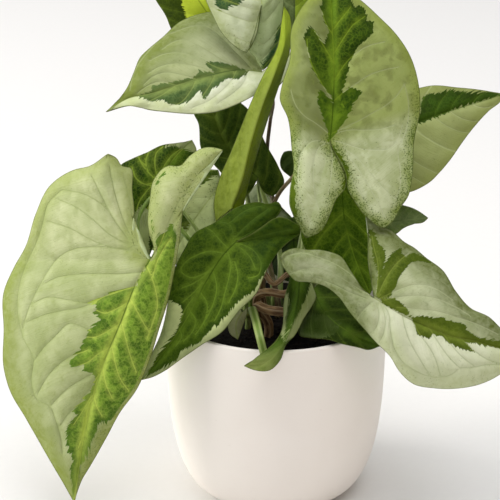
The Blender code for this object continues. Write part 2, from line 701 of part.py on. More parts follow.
# Leaf sheath: where it leaves the soil, the sketch-plane points it is led through, its half widths
# along the way and its thickness as a share of its width.
STRAP_FOOT = (-9, -23)
STRAP_VIA = [(-12, -1, 33), (-10, -8, 45), (-8, -16, 54), (-6, -24, 53)]
STRAP_RADII = (1.6, 2.3, 2.3, 2.2)
STRAP_FLATTEN = 0.45


def build_strap():
    """Pale leaf sheath, wide and flat, that rises from the soil and hangs over the front of the rim."""
    led = [place(*point) for point in STRAP_VIA]
    build_tube("sheath_strap", [*rise_from_soil(*STRAP_FOOT), *led], STRAP_RADII, (0.45, 0.50, 0.25), 0.5,
               flatten=STRAP_FLATTEN)


def clear_scene():
    for item in list(bpy.data.objects):
        bpy.data.objects.remove(item, do_unlink=True)


def main():
    clear_scene()
    build_pot()
    build_soil()
    for name, leaf in LEAVES.items():
        build_leaf(name, leaf)
        build_stalk(name.replace("leaf", "stalk"), leaf, STALKS[name])
    for name, root in ROOTS.items():
        build_root(name, root)
    build_strap()


main()
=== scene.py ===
# %% [markdown]
# # An arrowhead plant in a plain white pot
#
# The real object is a young house plant: thin arrow-shaped blades on long stalks, dark potting mix
# and a turned white pot. A packed model already gives every blade, stalk and root its place and
# its rough shape. This lesson loads that model and puts a fine mesh and a finish on each piece.
# The model is never moved; a fine piece is built where the rough one stands, and replaces it.

# %% Load the packed model
import math

import bpy
import numpy as np
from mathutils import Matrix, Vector, noise


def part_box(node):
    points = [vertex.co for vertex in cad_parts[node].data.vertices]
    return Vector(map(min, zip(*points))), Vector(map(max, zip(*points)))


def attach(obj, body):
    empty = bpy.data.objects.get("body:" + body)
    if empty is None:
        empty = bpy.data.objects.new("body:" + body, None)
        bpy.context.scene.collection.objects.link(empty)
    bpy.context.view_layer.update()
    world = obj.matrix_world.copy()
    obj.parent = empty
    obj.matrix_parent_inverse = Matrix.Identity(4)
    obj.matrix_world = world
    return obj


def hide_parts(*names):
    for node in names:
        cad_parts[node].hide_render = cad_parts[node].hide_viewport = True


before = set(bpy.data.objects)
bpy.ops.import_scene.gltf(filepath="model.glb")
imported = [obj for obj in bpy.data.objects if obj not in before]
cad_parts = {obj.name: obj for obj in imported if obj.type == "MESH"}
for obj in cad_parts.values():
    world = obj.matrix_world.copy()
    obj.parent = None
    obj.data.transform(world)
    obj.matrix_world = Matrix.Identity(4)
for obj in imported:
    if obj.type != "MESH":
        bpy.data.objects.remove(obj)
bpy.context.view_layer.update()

MM = 0.001
print("nodes in the packed model:", len(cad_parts))

# %% [markdown]
# ## One measure for everything
#
# The pot is the one piece whose real size is known, so it is the ruler. Its height and radius are
# read from the packed model. The camera stands in front of it and looks down a little, and
# every leaf is drawn on a sketch plane through the middle of the rim that faces the camera: right,
# up and near, in millimetres. A flat drawing is the surest way to give a leaf its true outline,
# and the third number gives it depth.

# %% The pot's size and the sketch plane
POT_LOW, POT_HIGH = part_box("pot")
POT_HEIGHT = POT_HIGH.z / MM
POT_RADIUS = (POT_HIGH.x - POT_LOW.x) / 2 / MM
LOOK_DOWN = math.radians(21.4)
EYE_DISTANCE = 1000.0
EYE_LEFT = 13.0
EYE_UP = 28.0
SIDE = np.array([1.0, 0.0, 0.0])
UP = np.array([0.0, math.sin(LOOK_DOWN), math.cos(LOOK_DOWN)])
NEAR = np.array([0.0, -math.cos(LOOK_DOWN), math.sin(LOOK_DOWN)])
RIM_CENTRE = np.array([0.0, 0.0, POT_HEIGHT])
EYE = RIM_CENTRE + EYE_DISTANCE * NEAR - EYE_LEFT * SIDE + EYE_UP * UP


def place(points):
    """World points in mm for sketch points (right, up, near), drawn towards the eye by near."""
    points = np.atleast_2d(np.asarray(points, float))
    on_plane = RIM_CENTRE + points[:, :1] * SIDE + points[:, 1:2] * UP
    return on_plane + (EYE - on_plane) * points[:, 2:3] / EYE_DISTANCE


print(f"pot: {2 * POT_RADIUS:.1f} mm across, {POT_HEIGHT:.1f} mm high")

# %% [markdown]
# ## The camera
#
# A portrait lens from about a metre away keeps the leaves free of distortion. The camera stands
# exactly at the eye that the sketch plane was drawn for, so each outline lands where it was drawn.

# %% Put the camera at the eye
FOCAL_LENGTH = 144.0
SENSOR_WIDTH = 36.0
FAR_CLIP = 30.0
view = bpy.data.cameras.new("viewer")
view.lens = FOCAL_LENGTH
view.sensor_width = SENSOR_WIDTH
view.sensor_fit = "HORIZONTAL"
view.clip_start = 0.05
view.clip_end = FAR_CLIP
camera = bpy.data.objects.new("viewer", view)
camera.location = EYE * MM
camera.rotation_euler = (math.pi / 2 - LOOK_DOWN, 0.0, 0.0)
bpy.context.scene.collection.objects.link(camera)
bpy.context.scene.camera = camera
print("camera at", [round(x, 3) for x in camera.location])

# %% [markdown]
# ## Colours as they look on a screen
#
# A maker picks a colour on a screen, and writes it as six hexadecimal digits. A renderer
# adds up light, so it wants linear amounts. One function does the change, and every colour of the
# plant, the pot and the lamps below goes through it.

# %% From a screen colour to a linear one
FULL_HEX = 255.0
DARK_LIMIT = 0.04045
DARK_SLOPE = 12.92
SCREEN_OFFSET = 0.055
SCREEN_POWER = 2.4


def tone(code):
    """Linear colour for a screen colour written as six hexadecimal digits."""
    shares = [int(code[n:n + 2], 16) / FULL_HEX for n in (0, 2, 4)]
    linear = [s / DARK_SLOPE if s <= DARK_LIMIT
              else ((s + SCREEN_OFFSET) / (1.0 + SCREEN_OFFSET)) ** SCREEN_POWER for s in shares]
    return (*linear, 1.0)


print("a leaf's green, linear:", [round(x, 3) for x in tone("527012")[:3]])

# %% [markdown]
# ## Shader maths written as maths
#
# A finish is a tree of nodes, and wiring one by hand hides what it means. Here a `Wire` stands for
# one output, and Python's own operators on it add the Math nodes, so a mask can be written as
# `1 - spots * shine`. `clear_of` is the soft threshold that most of the finishes use.

# %% A wire with operators
class Wire:
    """An output of a finish's node tree; Python's operators on it add Math nodes."""

    def __init__(self, finish, socket):
        self.finish = finish
        self.socket = socket

    def math(self, operation, *others, **settings):
        return self.finish.math(operation, self, *others, **settings)

    def __add__(self, other):
        return self.math("ADD", other)

    __radd__ = __add__

    def __mul__(self, other):
        return self.math("MULTIPLY", other)

    __rmul__ = __mul__

    def __sub__(self, other):
        return self.math("SUBTRACT", other)

    def __rsub__(self, other):
        return self.finish.math("SUBTRACT", other, self)

    def __abs__(self):
        return self.math("ABSOLUTE")

    def clear_of(self, low, high):
        """0 below low, 1 above high, and a soft step between them."""
        sockets = {"Value": self, "From Min": low, "From Max": high}
        return self.finish.add("ShaderNodeMapRange", sockets, interpolation_type="SMOOTHSTEP")


print("a wire also has", ", ".join(name for name in vars(Wire) if not name.startswith("_")))

# %% [markdown]
# ## One finish, one way to add a node
#
# `Finish` holds a material. Its `add` makes any node from its type, its settings and the values or
# wires of its sockets, and the short methods after it give the few nodes that come again and
# again: a mix of two colours, the place on the surface, a number that the mesh carries, and noise
# whose grain is given in mm. `paint` joins the result to the shader, with the fine relief as bump.

# %% A material as an object
class Finish:
    """A material whose nodes are written as Python expressions."""

    def __init__(self, name, **shader):
        self.material = bpy.data.materials.new(name)
        self.material.use_nodes = True
        self.tree = self.material.node_tree
        self.shader = self.tree.nodes["Principled BSDF"]
        for socket, value in shader.items():
            self.shader.inputs[socket.replace("_", " ")].default_value = value

    def add(self, kind, sockets=None, out=0, **settings):
        """One node: its settings first, then its socket values or links; gives one output."""
        node = self.tree.nodes.new(kind)
        for setting, value in settings.items():
            setattr(node, setting, value)
        for name, value in (sockets or {}).items():
            if isinstance(value, Wire):
                self.tree.links.new(value.socket, node.inputs[name])
            else:
                node.inputs[name].default_value = value
        return Wire(self, node.outputs[out])

    def math(self, operation, *values, **settings):
        return self.add("ShaderNodeMath", dict(enumerate(values)), operation=operation, **settings)

    def mix(self, share, first, second):
        """A colour that goes from the first to the second as share goes from 0 to 1."""
        return self.add("ShaderNodeMix", {0: share, 6: first, 7: second}, out=2, data_type="RGBA")

    def here(self):
        """The point of the surface, in metres in the row's frame."""
        return self.add("ShaderNodeTexCoord", out="Object")

    def read(self, attribute, out="Fac"):
        """A number that the mesh carries at each of its points."""
        return self.add("ShaderNodeAttribute", out=out, attribute_name=attribute)

    def noise(self, at, grain, detail=2.0, warp=0.0):
        """Smooth noise from 0 to 1 whose blots are about `grain` mm wide."""
        sockets = {"Vector": at, "Scale": 1.0 / (grain * MM), "Detail": detail, "Distortion": warp}
        return self.add("ShaderNodeTexNoise", sockets)

    def streaks(self, along, detail=1.0):
        """Noise that changes only with one number, for marks that run along a vein."""
        return self.add("ShaderNodeTexNoise", {"W": along, "Scale": 1.0, "Detail": detail},
                        noise_dimensions="1D")

    def paint(self, colour, roughness, height, depth):
        """Join colour, roughness and a bump of the given depth in mm to the shader."""
        bump = self.add("ShaderNodeBump", {"Height": height, "Distance": depth * MM}, out="Normal")
        wires = {"Base Color": colour, "Roughness": roughness, "Normal": bump}
        for socket, wire in wires.items():
            self.tree.links.new(wire.socket, self.shader.inputs[socket])
        return self.material


print("a finish has", ", ".join(name for name in vars(Finish) if not name.startswith("_")))

# %% [markdown]
# ## Light, air and floor
#
# House plants look their best in soft daylight. A large soft lamp to the left gives most of it, a
# wide one overhead lights the tops of the leaves, a weak warm one fills from the right, and a pale
# sky lights the rest. The left lamp stands level with the pot and not in front of it: that shades
# a white pot from left to right, and keeps the large front leaf from throwing its shadow on it.
# The floor is one plain pale sheet, matt, because a glossy floor would mirror the leaves. The
# Standard view shows whites as white.

# %% Build the studio
FLOOR_HALF = 6.0
SKY_STRENGTH = 0.27
LAMPS_AIM = Vector((0.0, 0.0, 0.15))
LEFT_WATTS = 56.0
TOP_WATTS = 57.0
FILL_WATTS = 4.0


def floor_finish():
    """Matt pale card: almost white, with a trace of warmth and grain."""
    finish = Finish("pale_floor", Roughness=0.9)
    fibre = finish.noise(finish.here(), 4.0)
    colour = finish.mix(fibre, tone("EEEDEB"), tone("F1F0EE"))
    return finish.paint(colour, 0.85 + 0.1 * fibre, fibre, 0.02)


def build_floor():
    corners = [(-FLOOR_HALF, -FLOOR_HALF, 0.0), (FLOOR_HALF, -FLOOR_HALF, 0.0),
               (FLOOR_HALF, FLOOR_HALF, 0.0), (-FLOOR_HALF, FLOOR_HALF, 0.0)]
    mesh = bpy.data.meshes.new("floor")
    mesh.from_pydata(corners, [], [(0, 1, 2, 3)])
    mesh.materials.append(floor_finish())
    floor = bpy.data.objects.new("floor", mesh)
    bpy.context.scene.collection.objects.link(floor)


def build_lamp(name, place_at, size, watts, colour):
    """A square soft lamp that shines at the middle of the plant."""
    lamp = bpy.data.lights.new(name, "AREA")
    lamp.shape = "SQUARE"
    lamp.size = size
    lamp.energy = watts
    lamp.color = colour[:3]
    stand = bpy.data.objects.new(name, lamp)
    stand.location = place_at
    stand.rotation_euler = (LAMPS_AIM - Vector(place_at)).to_track_quat("-Z", "Y").to_euler()
    bpy.context.scene.collection.objects.link(stand)


def build_sky():
    sky = bpy.data.worlds.new("pale_sky")
    sky.use_nodes = True
    air = sky.node_tree.nodes["Background"]
    air.inputs["Color"].default_value = tone("FAFBFF")
    air.inputs["Strength"].default_value = SKY_STRENGTH
    bpy.context.scene.world = sky


build_floor()
build_sky()
build_lamp("left_lamp", (-2.3, 0.1, 1.05), 1.5, LEFT_WATTS, tone("FFFCF8"))
build_lamp("top_lamp", (0.2, -0.2, 2.6), 2.4, TOP_WATTS, tone("FFFFFF"))
build_lamp("fill_lamp", (1.5, -1.6, 0.4), 1.6, FILL_WATTS, tone("FFC890"))
bpy.context.scene.view_settings.view_transform = "Standard"

# %% [markdown]
# ## How a blade is drawn
#
# An arrowhead leaf has a midrib from its tip to its knot, where the stalk joins, and two lobes
# behind the knot. Each half, west or east, has an outer edge from tip to lobe and a notch edge
# from lobe back to the knot. `slope` says how far the half comes forward for each mm away from
# its veins, and `belly` lets its middle swell towards the viewer. These are the outlines that the
# packed model was made from, drawn a little finer where two lobes meet at the notch, so the fine
# blades fit it.

# %% A blade as numbers
def half(edge, lobe, notch, slope):
    """One half of a blade; the edge and the notch are flat, the lobe's end has its depth."""
    return {"edge": edge, "lobe": lobe, "notch": notch, "slope": slope}


def blade(rib, west, east, belly, faces_away=False):
    """A blade from its midrib, tip first, and its two halves."""
    return {"rib": rib, "west": west, "east": east, "belly": belly, "faces_away": faces_away}


print("a tip 100 mm right and 20 mm up stands at", place((100, 20, 0))[0].round(1))

# %% [markdown]
# ## The leaves in front
#
# The great pale leaf at the left hangs with its tip below the pot's rim and folds along its
# midrib; a green one lies beside it, a narrow one hangs over the rim, and the waved pale leaf at
# the right covers a hanging green one.

# %% Outlines of the front leaves
LEAVES = {
    "leaf_front_left": blade(
        [(-101, -98, 16), (-95, -60, 34), (-88, -33, 43), (-78, -9, 49), (-68, 15, 50), (-63, 23, 49)],
        half([(-106, -89), (-113, -77), (-125, -56), (-133, -42), (-136, -31), (-136, -12), (-136, 7),
              (-131, 19), (-125, 30), (-120, 46), (-113, 60), (-101, 68), (-93, 70)],
             (-84, 76, 49), [(-80, 74), (-77, 70), (-73, 69), (-72, 58), (-71, 46), (-72, 37), (-70.5, 30),
             (-66.5, 25.5)], -0.48),
        half([(-97, -87), (-93, -80), (-85, -66), (-78, -53), (-70, -42), (-63, -26), (-59, -13), (-54, 3),
              (-50, 22), (-48, 35), (-47, 45), (-46, 54), (-38.5, 66.5), (-33.5, 70.5), (-29.5, 75)],
             (-26.5, 78, 62), [(-30, 79), (-36, 79), (-43, 75), (-48, 70), (-54, 70), (-61, 63), (-63, 53),
             (-64, 42), (-63, 35), (-61, 27)], -0.22),
        belly=5.0),
    "leaf_front_middle": blade(
        [(-67, -37, 31), (-53, -19, 35), (-45, -7, 38), (-35, 12, 40), (-25, 27, 40), (-20, 32, 39)],
        half([(-64, -28), (-58, -15), (-55, -4), (-53, 8), (-50, 20), (-46, 28), (-41, 36), (-30, 42),
              (-20, 49), (-15, 51), (-9, 52), (-4, 51), (1, 52)],
             (3, 49, 36), [(2, 47), (0.7, 44.9), (-3.1, 42.2), (-7.3, 38.8), (-12.2, 35.7)], -0.2),
        half([(-63, -36), (-55, -32), (-48, -27), (-38, -20), (-27, -13), (-18, -2), (-10, 6), (-5, 17),
              (2, 28), (9, 34)],
             (12, 36, 42), [(12, 39.5), (8, 42.5), (1.6, 44.4), (-3.1, 42.6), (-7.3, 39.5), (-12.1, 36.2)],
             0.42),
        belly=2.0),
    "leaf_over_rim": blade(
        [(-16, -30, 60), (-3, -27, 62), (3, -20, 59), (8, -9, 51), (11, 3, 44), (12, 15, 37)],
        half([(-13, -28), (-6, -23), (0, -18), (3, -12), (4, 3), (7, 14)],
             (7, 22, 34), [(10, 18)], 0.1),
        half([(-11, -32), (-3, -32), (2, -27), (5, -19), (9, -15), (14, -6), (18, 0), (20, 4), (18, 11)],
             (17, 22, 34), [(14, 18)], -0.2),
        belly=0.8),
    "leaf_front_right": blade(
        [(122, -23, 38), (112, -21, 43), (97, -17, 48), (87, -15, 50), (77, -11, 52), (62, -4, 54),
         (54, 1, 54), (49, 4, 54)],
        half([(112, -34), (102, -39), (92, -41), (79, -41), (69, -39), (62, -33), (57, -25), (50, -18),
              (42, -9), (37, -3), (32, 4), (24, 10), (17, 12), (9, 13), (7, 15), (3, 21)],
             (2, 24, 52), [(3, 26), (6, 28), (10, 29), (16, 28), (22, 28), (27, 27), (32, 25), (37, 18),
             (44, 8)], -0.02),
        half([(118, -17), (112, -11), (107, -6), (97, -1), (90, 7), (83, 18), (75, 24), (69, 29), (64, 32),
              (57, 38), (51, 40)],
             (45, 45, 32), [(46, 35), (46, 23), (48, 10)], -0.55),
        belly=4.0),
    "leaf_hanging_green": blade(
        [(47, 6, 14), (38, 28, 18), (34, 45, 20), (33, 62, 21)],
        half([(38, 8), (27, 17), (18, 24), (13, 33), (13, 42), (16, 53)],
             (21, 63, 18), [(27, 62)], -0.2),
        half([(49, 10), (50, 20), (49, 30), (48, 40), (45, 50)],
             (43, 59, 18), [(38, 61)], -0.3),
        belly=1.5),
}
print("front leaves:", len(LEAVES))

# %% [markdown]
# ## The upright leaf and the leaves round it
#
# One blade stands upright with its lobes down. A young blade, still rolled, points up before it,
# and the others fan out to both sides and over the top, some turned away from the light.

# %% Outlines of the upper leaves
LEAVES.update({
    "leaf_upright": blade(
        [(27, 163, 42), (28, 143, 48), (29, 113, 50), (28, 93, 47), (27, 83, 45)],
        half([(23, 159), (16, 153), (8, 139), (7, 123), (3, 110), (2, 104), (6, 94), (8, 78), (9, 70),
              (7, 58), (7, 50), (8, 47), (13, 37)],
             (15, 34, 40), [(18, 35), (22, 37), (27, 46), (30.5, 54), (34.3, 58.5), (35.3, 63.5),
             (34.4, 67.5), (32.4, 71.5), (29.8, 76), (27.8, 80.4)], -0.14),
        half([(34, 158), (42, 153), (52, 144), (59, 137), (67, 125), (71, 112), (72, 98), (69, 83),
              (68, 65), (66, 55), (62, 49), (58, 42)],
             (54, 39, 40), [(51, 40), (47, 43), (43, 47), (39.5, 52), (36, 58), (35, 63.5), (34, 67.7),
             (31.8, 71.6), (29.2, 76), (27.4, 80.3)], -0.18),
        belly=4.0),
    "leaf_young_rolled": blade(
        [(4, 150, 36), (4, 130, 37), (0, 118, 36), (-7, 100, 34), (-13, 80, 32), (-17, 63, 29),
         (-22, 49, 26)],
        half([(3, 143), (1, 130), (-7, 114), (-14, 98), (-22, 78), (-28, 64), (-31, 50)],
             (-30, 42, 20), [(-26, 46)], -0.6),
        half([(6.5, 146), (7.6, 136), (7, 129), (4, 118), (0, 106), (-4, 94), (-9, 78), (-14, 60)],
             (-17, 47, 21), [(-19, 48)], -0.8),
        belly=1.0),
    "leaf_upper_left": blade(
        [(-85, 97, 26), (-73, 104, 29), (-63, 106, 29), (-50, 110, 28), (-30, 116, 25), (-18, 118, 23),
         (-7, 117, 22)],
        half([(-81, 101), (-75, 108), (-71, 117), (-68, 124), (-63, 129), (-57, 134), (-48, 142),
              (-38, 146), (-25, 147), (-15, 143)],
             (-6, 137, 12), [(-8, 130), (-9, 124)], -0.65),
        half([(-73, 100), (-63, 98), (-55, 97), (-39, 96), (-30, 97), (-19, 101), (-9, 106), (0, 109),
              (6, 116)],
             (8.5, 128, 20), [(4, 122), (-2, 120)], 0.4),
        belly=2.0),
    "leaf_top_centre": blade(
        [(-17, 195, 18), (-13, 178, 26), (-9, 163, 30), (-7, 151, 31)],
        half([(-27, 190), (-36, 178), (-39, 166), (-35, 153), (-31, 144), (-28, 138), (-23, 132),
              (-18, 128)],
             (-14.7, 126.6, 29), [(-12.2, 130.2), (-9.6, 136.5), (-8.5, 142), (-7.8, 147)], -0.15),
        half([(-6, 190), (2, 178), (6, 166), (4, 153), (3, 143), (2, 134), (0, 127), (-3, 121)],
             (-6.5, 118, 24), [(-9, 121), (-10.5, 124.4), (-13.2, 127.2), (-13, 130.5), (-10.8, 136.5),
             (-9.3, 142), (-8.3, 147.2)], -0.12),
        belly=2.0),
    "leaf_top_left": blade(
        [(-58, 190, -14), (-42, 158, -6), (-32, 143, -5)],
        half([(-64, 180), (-66, 168), (-60, 153), (-55, 145), (-52, 138), (-46, 131)],
             (-40, 126, -6), [(-36, 130), (-33, 137)], -0.3),
        half([(-48, 188), (-36, 180), (-28, 170), (-23, 158), (-19, 146)],
             (-18, 134, -8), [(-24, 136), (-29, 140)], -0.3),
        belly=2.0),
    "leaf_top_back": blade(
        [(7, 183, -4), (9, 160, 1), (9, 137, 3)],
        half([(0, 178), (-4, 166), (-6, 153), (-6.5, 143), (-6.5, 133), (-6, 125)],
             (-3, 119, -4), [(2, 122), (6, 129)], -0.25),
        half([(14, 178), (20, 165), (21, 150), (18, 138)],
             (15, 127, 2), [(12, 131)], -0.25),
        belly=1.0),
    "leaf_right": blade(
        [(114, 106, -6), (102, 102, 2), (92, 99, 6), (72, 92, 11), (50, 83, 12)],
        half([(108, 107), (102, 108), (92, 109), (77, 110), (72, 109), (62, 107), (52, 104)],
             (42, 99, 6), [(43, 92), (46, 86)], -0.5),
        half([(112, 102), (107, 98), (102, 93), (94, 83), (87, 73), (82, 67), (77, 62), (72, 59), (67, 57),
              (60, 57), (53, 60)],
             (46, 66, 12), [(46, 74), (48, 79)], 0.15),
        belly=2.0),
})
print("with the upper leaves:", len(LEAVES))

# %% [markdown]
# ## Small leaves, and leaves for the back
#
# Small and half-hidden blades fill the crown. The last four are seen from behind only, or through
# gaps: a plant that is looked at from all sides needs them, so they are made in the same way.

# %% Outlines of the small and the hidden leaves
LEAVES.update({
    "leaf_small_right": blade(
        [(76, 44, 8), (66, 43, 10), (54, 42, 10)],
        half([(72, 47), (65, 50), (58, 51)],
             (50, 50, 8), [(52, 46)], -0.3),
        half([(74, 42), (69, 41), (64, 39), (60, 36), (55, 35)],
             (50, 35, 9), [(52, 38)], 0.1),
        belly=0.8),
    "leaf_small_back": blade(
        [(16, 60, -8), (14, 67, -8), (12, 72, -8)],
        half([(11, 62), (6, 65.5), (2.8, 68.5), (2, 72.5)],
             (4, 77, -9), [(8, 77.5), (10.5, 75)], -0.15),
        half([(20, 63), (23, 70)],
             (21, 78, -9), [(16, 77), (13.5, 75)], -0.15),
        belly=0.8),
    "leaf_back_dark": blade(
        [(-38, 105, -7), (-32, 97, -4), (-27, 85, -2), (-23, 78, -2), (-9, 64, -2)],
        half([(-41, 96), (-39, 92), (-37, 78), (-33, 73), (-27, 66), (-22, 58)],
             (-18, 52, -4), [(-13, 57)], -0.2),
        half([(-30, 106), (-20, 103), (-12, 96), (-7, 85), (-4, 79), (1, 70), (4, 61), (2, 57)],
             (-2, 55, -4), [(-5, 56), (-8, 60)], -0.3),
        belly=1.5),
    "leaf_left_small": blade(
        [(-42, 83, 26), (-50, 75, 29), (-59, 63, 29)],
        half([(-46, 82), (-58, 80), (-64, 77), (-71, 74), (-78, 70), (-80, 60), (-79, 45), (-74, 32)],
             (-65, 21, 26), [(-60.5, 33), (-59.5, 48)], -0.2),
        half([(-40, 79), (-42, 70), (-46, 60), (-50, 52)],
             (-55, 44, 27), [(-58, 50), (-59, 57)], -0.2),
        belly=1.5),
    "leaf_left_grey": blade(
        [(-54, 22, 10), (-43, 40, 15), (-30, 58, 17)],
        half([(-56, 34), (-55, 46), (-51, 57), (-45, 65), (-36, 68)],
             (-29, 68, 14), [(-28, 64)], -0.2),
        half([(-46, 20), (-34, 24), (-26, 34), (-21, 46)],
             (-20, 56, 13), [(-25, 57)], -0.1),
        belly=1.5),
    "leaf_on_rim": blade(
        [(52, -20, 40), (38, -14, 48), (27, -6, 44), (18, 8, 28)],
        half([(46, -22), (42, -21), (33, -19), (27, -17), (17, -16), (12, -15), (11, -11), (13, -4)],
             (14, 5, 28), [(16, 8)], 0.22),
        half([(50, -13), (45, -4), (38, 4), (31, 10)],
             (24, 14, 24), [(21, 11)], -0.3),
        belly=1.0),
    "leaf_low_left": blade(
        [(-19, -17, 35), (-20, -9, 31), (-17, -3, 27)],
        half([(-23, -14), (-24, -10), (-22, -6)],
             (-19, 0, 25), [(-18, -1)], -0.2),
        half([(-17, -11), (-15, -6)],
             (-14, 0, 25), [(-15, -1)], -0.2),
        belly=0.3),
    # a blade in the dark gap behind the crown; its near-black tones in LOOKS are painted shade
    "leaf_behind_crown": blade(
        [(14, 11, -28), (10, 24, -27), (8, 44, -26)],
        half([(4, 13), (-5, 20), (-10, 30), (-14, 42), (-15, 53)],
             (-10, 61, -28), [(-3, 55), (3, 49)], -0.2),
        half([(23, 13), (30, 20), (31, 32), (27, 43)],
             (19, 51, -28), [(13, 47)], -0.2),
        belly=1.5),
    "leaf_back_low": blade(
        [(25, -6, -88), (19, 18, -72), (12, 36, -44)],
        half([(15, 0), (7, 15), (-1, 28), (-3, 37)],
             (1, 44, -40), [(7, 40)], 0.0),
        half([(34, 1), (38, 14), (37, 27), (32, 38)],
             (25, 46, -40), [(18, 41)], 0.0),
        belly=-1.5, faces_away=True),
    "leaf_back_right": blade(
        [(56, 72, -60), (50, 88, -44), (40, 102, -26)],
        half([(50, 68), (39, 72), (30, 82), (26, 94)],
             (27, 106, -20), [(33, 106)], 0.15),
        half([(62, 78), (64, 91), (60, 105)],
             (52, 116, -16), [(46, 112)], 0.15),
        belly=-1.5, faces_away=True),
    "leaf_back_left": blade(
        [(-112, 22, -54), (-95, 30, -42), (-76, 36, -26)],
        half([(-108, 33), (-97, 43), (-85, 49)],
             (-73, 48, -20), [(-74, 42)], 0.2),
        half([(-108, 13), (-96, 13), (-82, 17)],
             (-68, 25, -22), [(-71, 31)], 0.2),
        belly=-1.5, faces_away=True),
})

print("blades drawn:", len(LEAVES))

# %% [markdown]
# ## Smooth lines through a few points
#
# A draughtsman bends a thin batten through a few points. `smooth` does the same with cubic pieces
# whose slope at each point comes from its neighbours, and reads the line at given shares of its
# length. The side vein that leaves the knot decides where the rows of the mesh turn the corner.

# %% Read a curve, and find where the side vein ends
SIDE_VEIN_TILT = math.radians(18)
SIDE_VEIN_SHARES = np.linspace(0.25, 0.85, 61)


def smooth(points, fractions):
    """Read a smooth curve through listed points at the given fractions of its length."""
    points = np.array(points, float)
    chord = np.linalg.norm(np.diff(points, axis=0), axis=1)
    along = np.concatenate([[0.0], np.cumsum(chord)])
    if len(points) > 2:
        slope = np.gradient(points, along, axis=0)
    else:
        slope = np.repeat(np.diff(points, axis=0) / chord, 2, axis=0)
    target = np.asarray(fractions) * along[-1]
    k = np.clip(np.searchsorted(along, target, side="right") - 1, 0, len(chord) - 1)
    step = chord[k][:, None]
    t = ((target - along[k]) / chord[k])[:, None]
    return ((2 * t**3 - 3 * t**2 + 1) * points[k] + (t**3 - 2 * t**2 + t) * step * slope[k]
            + (3 * t**2 - 2 * t**3) * points[k + 1] + (t**3 - t**2) * step * slope[k + 1])


def path_length(points):
    """Length of the path from point to point."""
    return float(np.linalg.norm(np.diff(points, axis=0), axis=1).sum())


def side_vein_share(tip, knot, edge):
    """How far round the outer edge, from the tip, the side vein that leaves the knot ends."""
    outline = smooth(edge, SIDE_VEIN_SHARES)
    to_tip = (tip - knot) / np.linalg.norm(tip - knot)
    across = np.array([-to_tip[1], to_tip[0]])
    away = outline - knot
    side = np.sign(np.sum(away @ across))
    vein = side * across * math.cos(SIDE_VEIN_TILT) + to_tip * math.sin(SIDE_VEIN_TILT)
    straight = (away @ vein) / np.linalg.norm(away, axis=1)
    return SIDE_VEIN_SHARES[np.argmax(straight)]


print("a batten through three points:", smooth([(0, 0), (10, 5), (20, 0)], [0.25])[0].round(2))

# %% [markdown]
# ## Where the colour changes
#
# Variegated blades are cream or grey-green with islands of full green round the midrib, and the
# green blades have a few pale islands. Each island is drawn as an outline on the sketch plane. A
# finish can't test an outline, but it can read a number at each point of the mesh: how many mm
# the point is inside the nearest island. That number is smooth, so the finish can fray the edge
# of the island with noise, as the real pigment does, and the mesh needs no line along it.

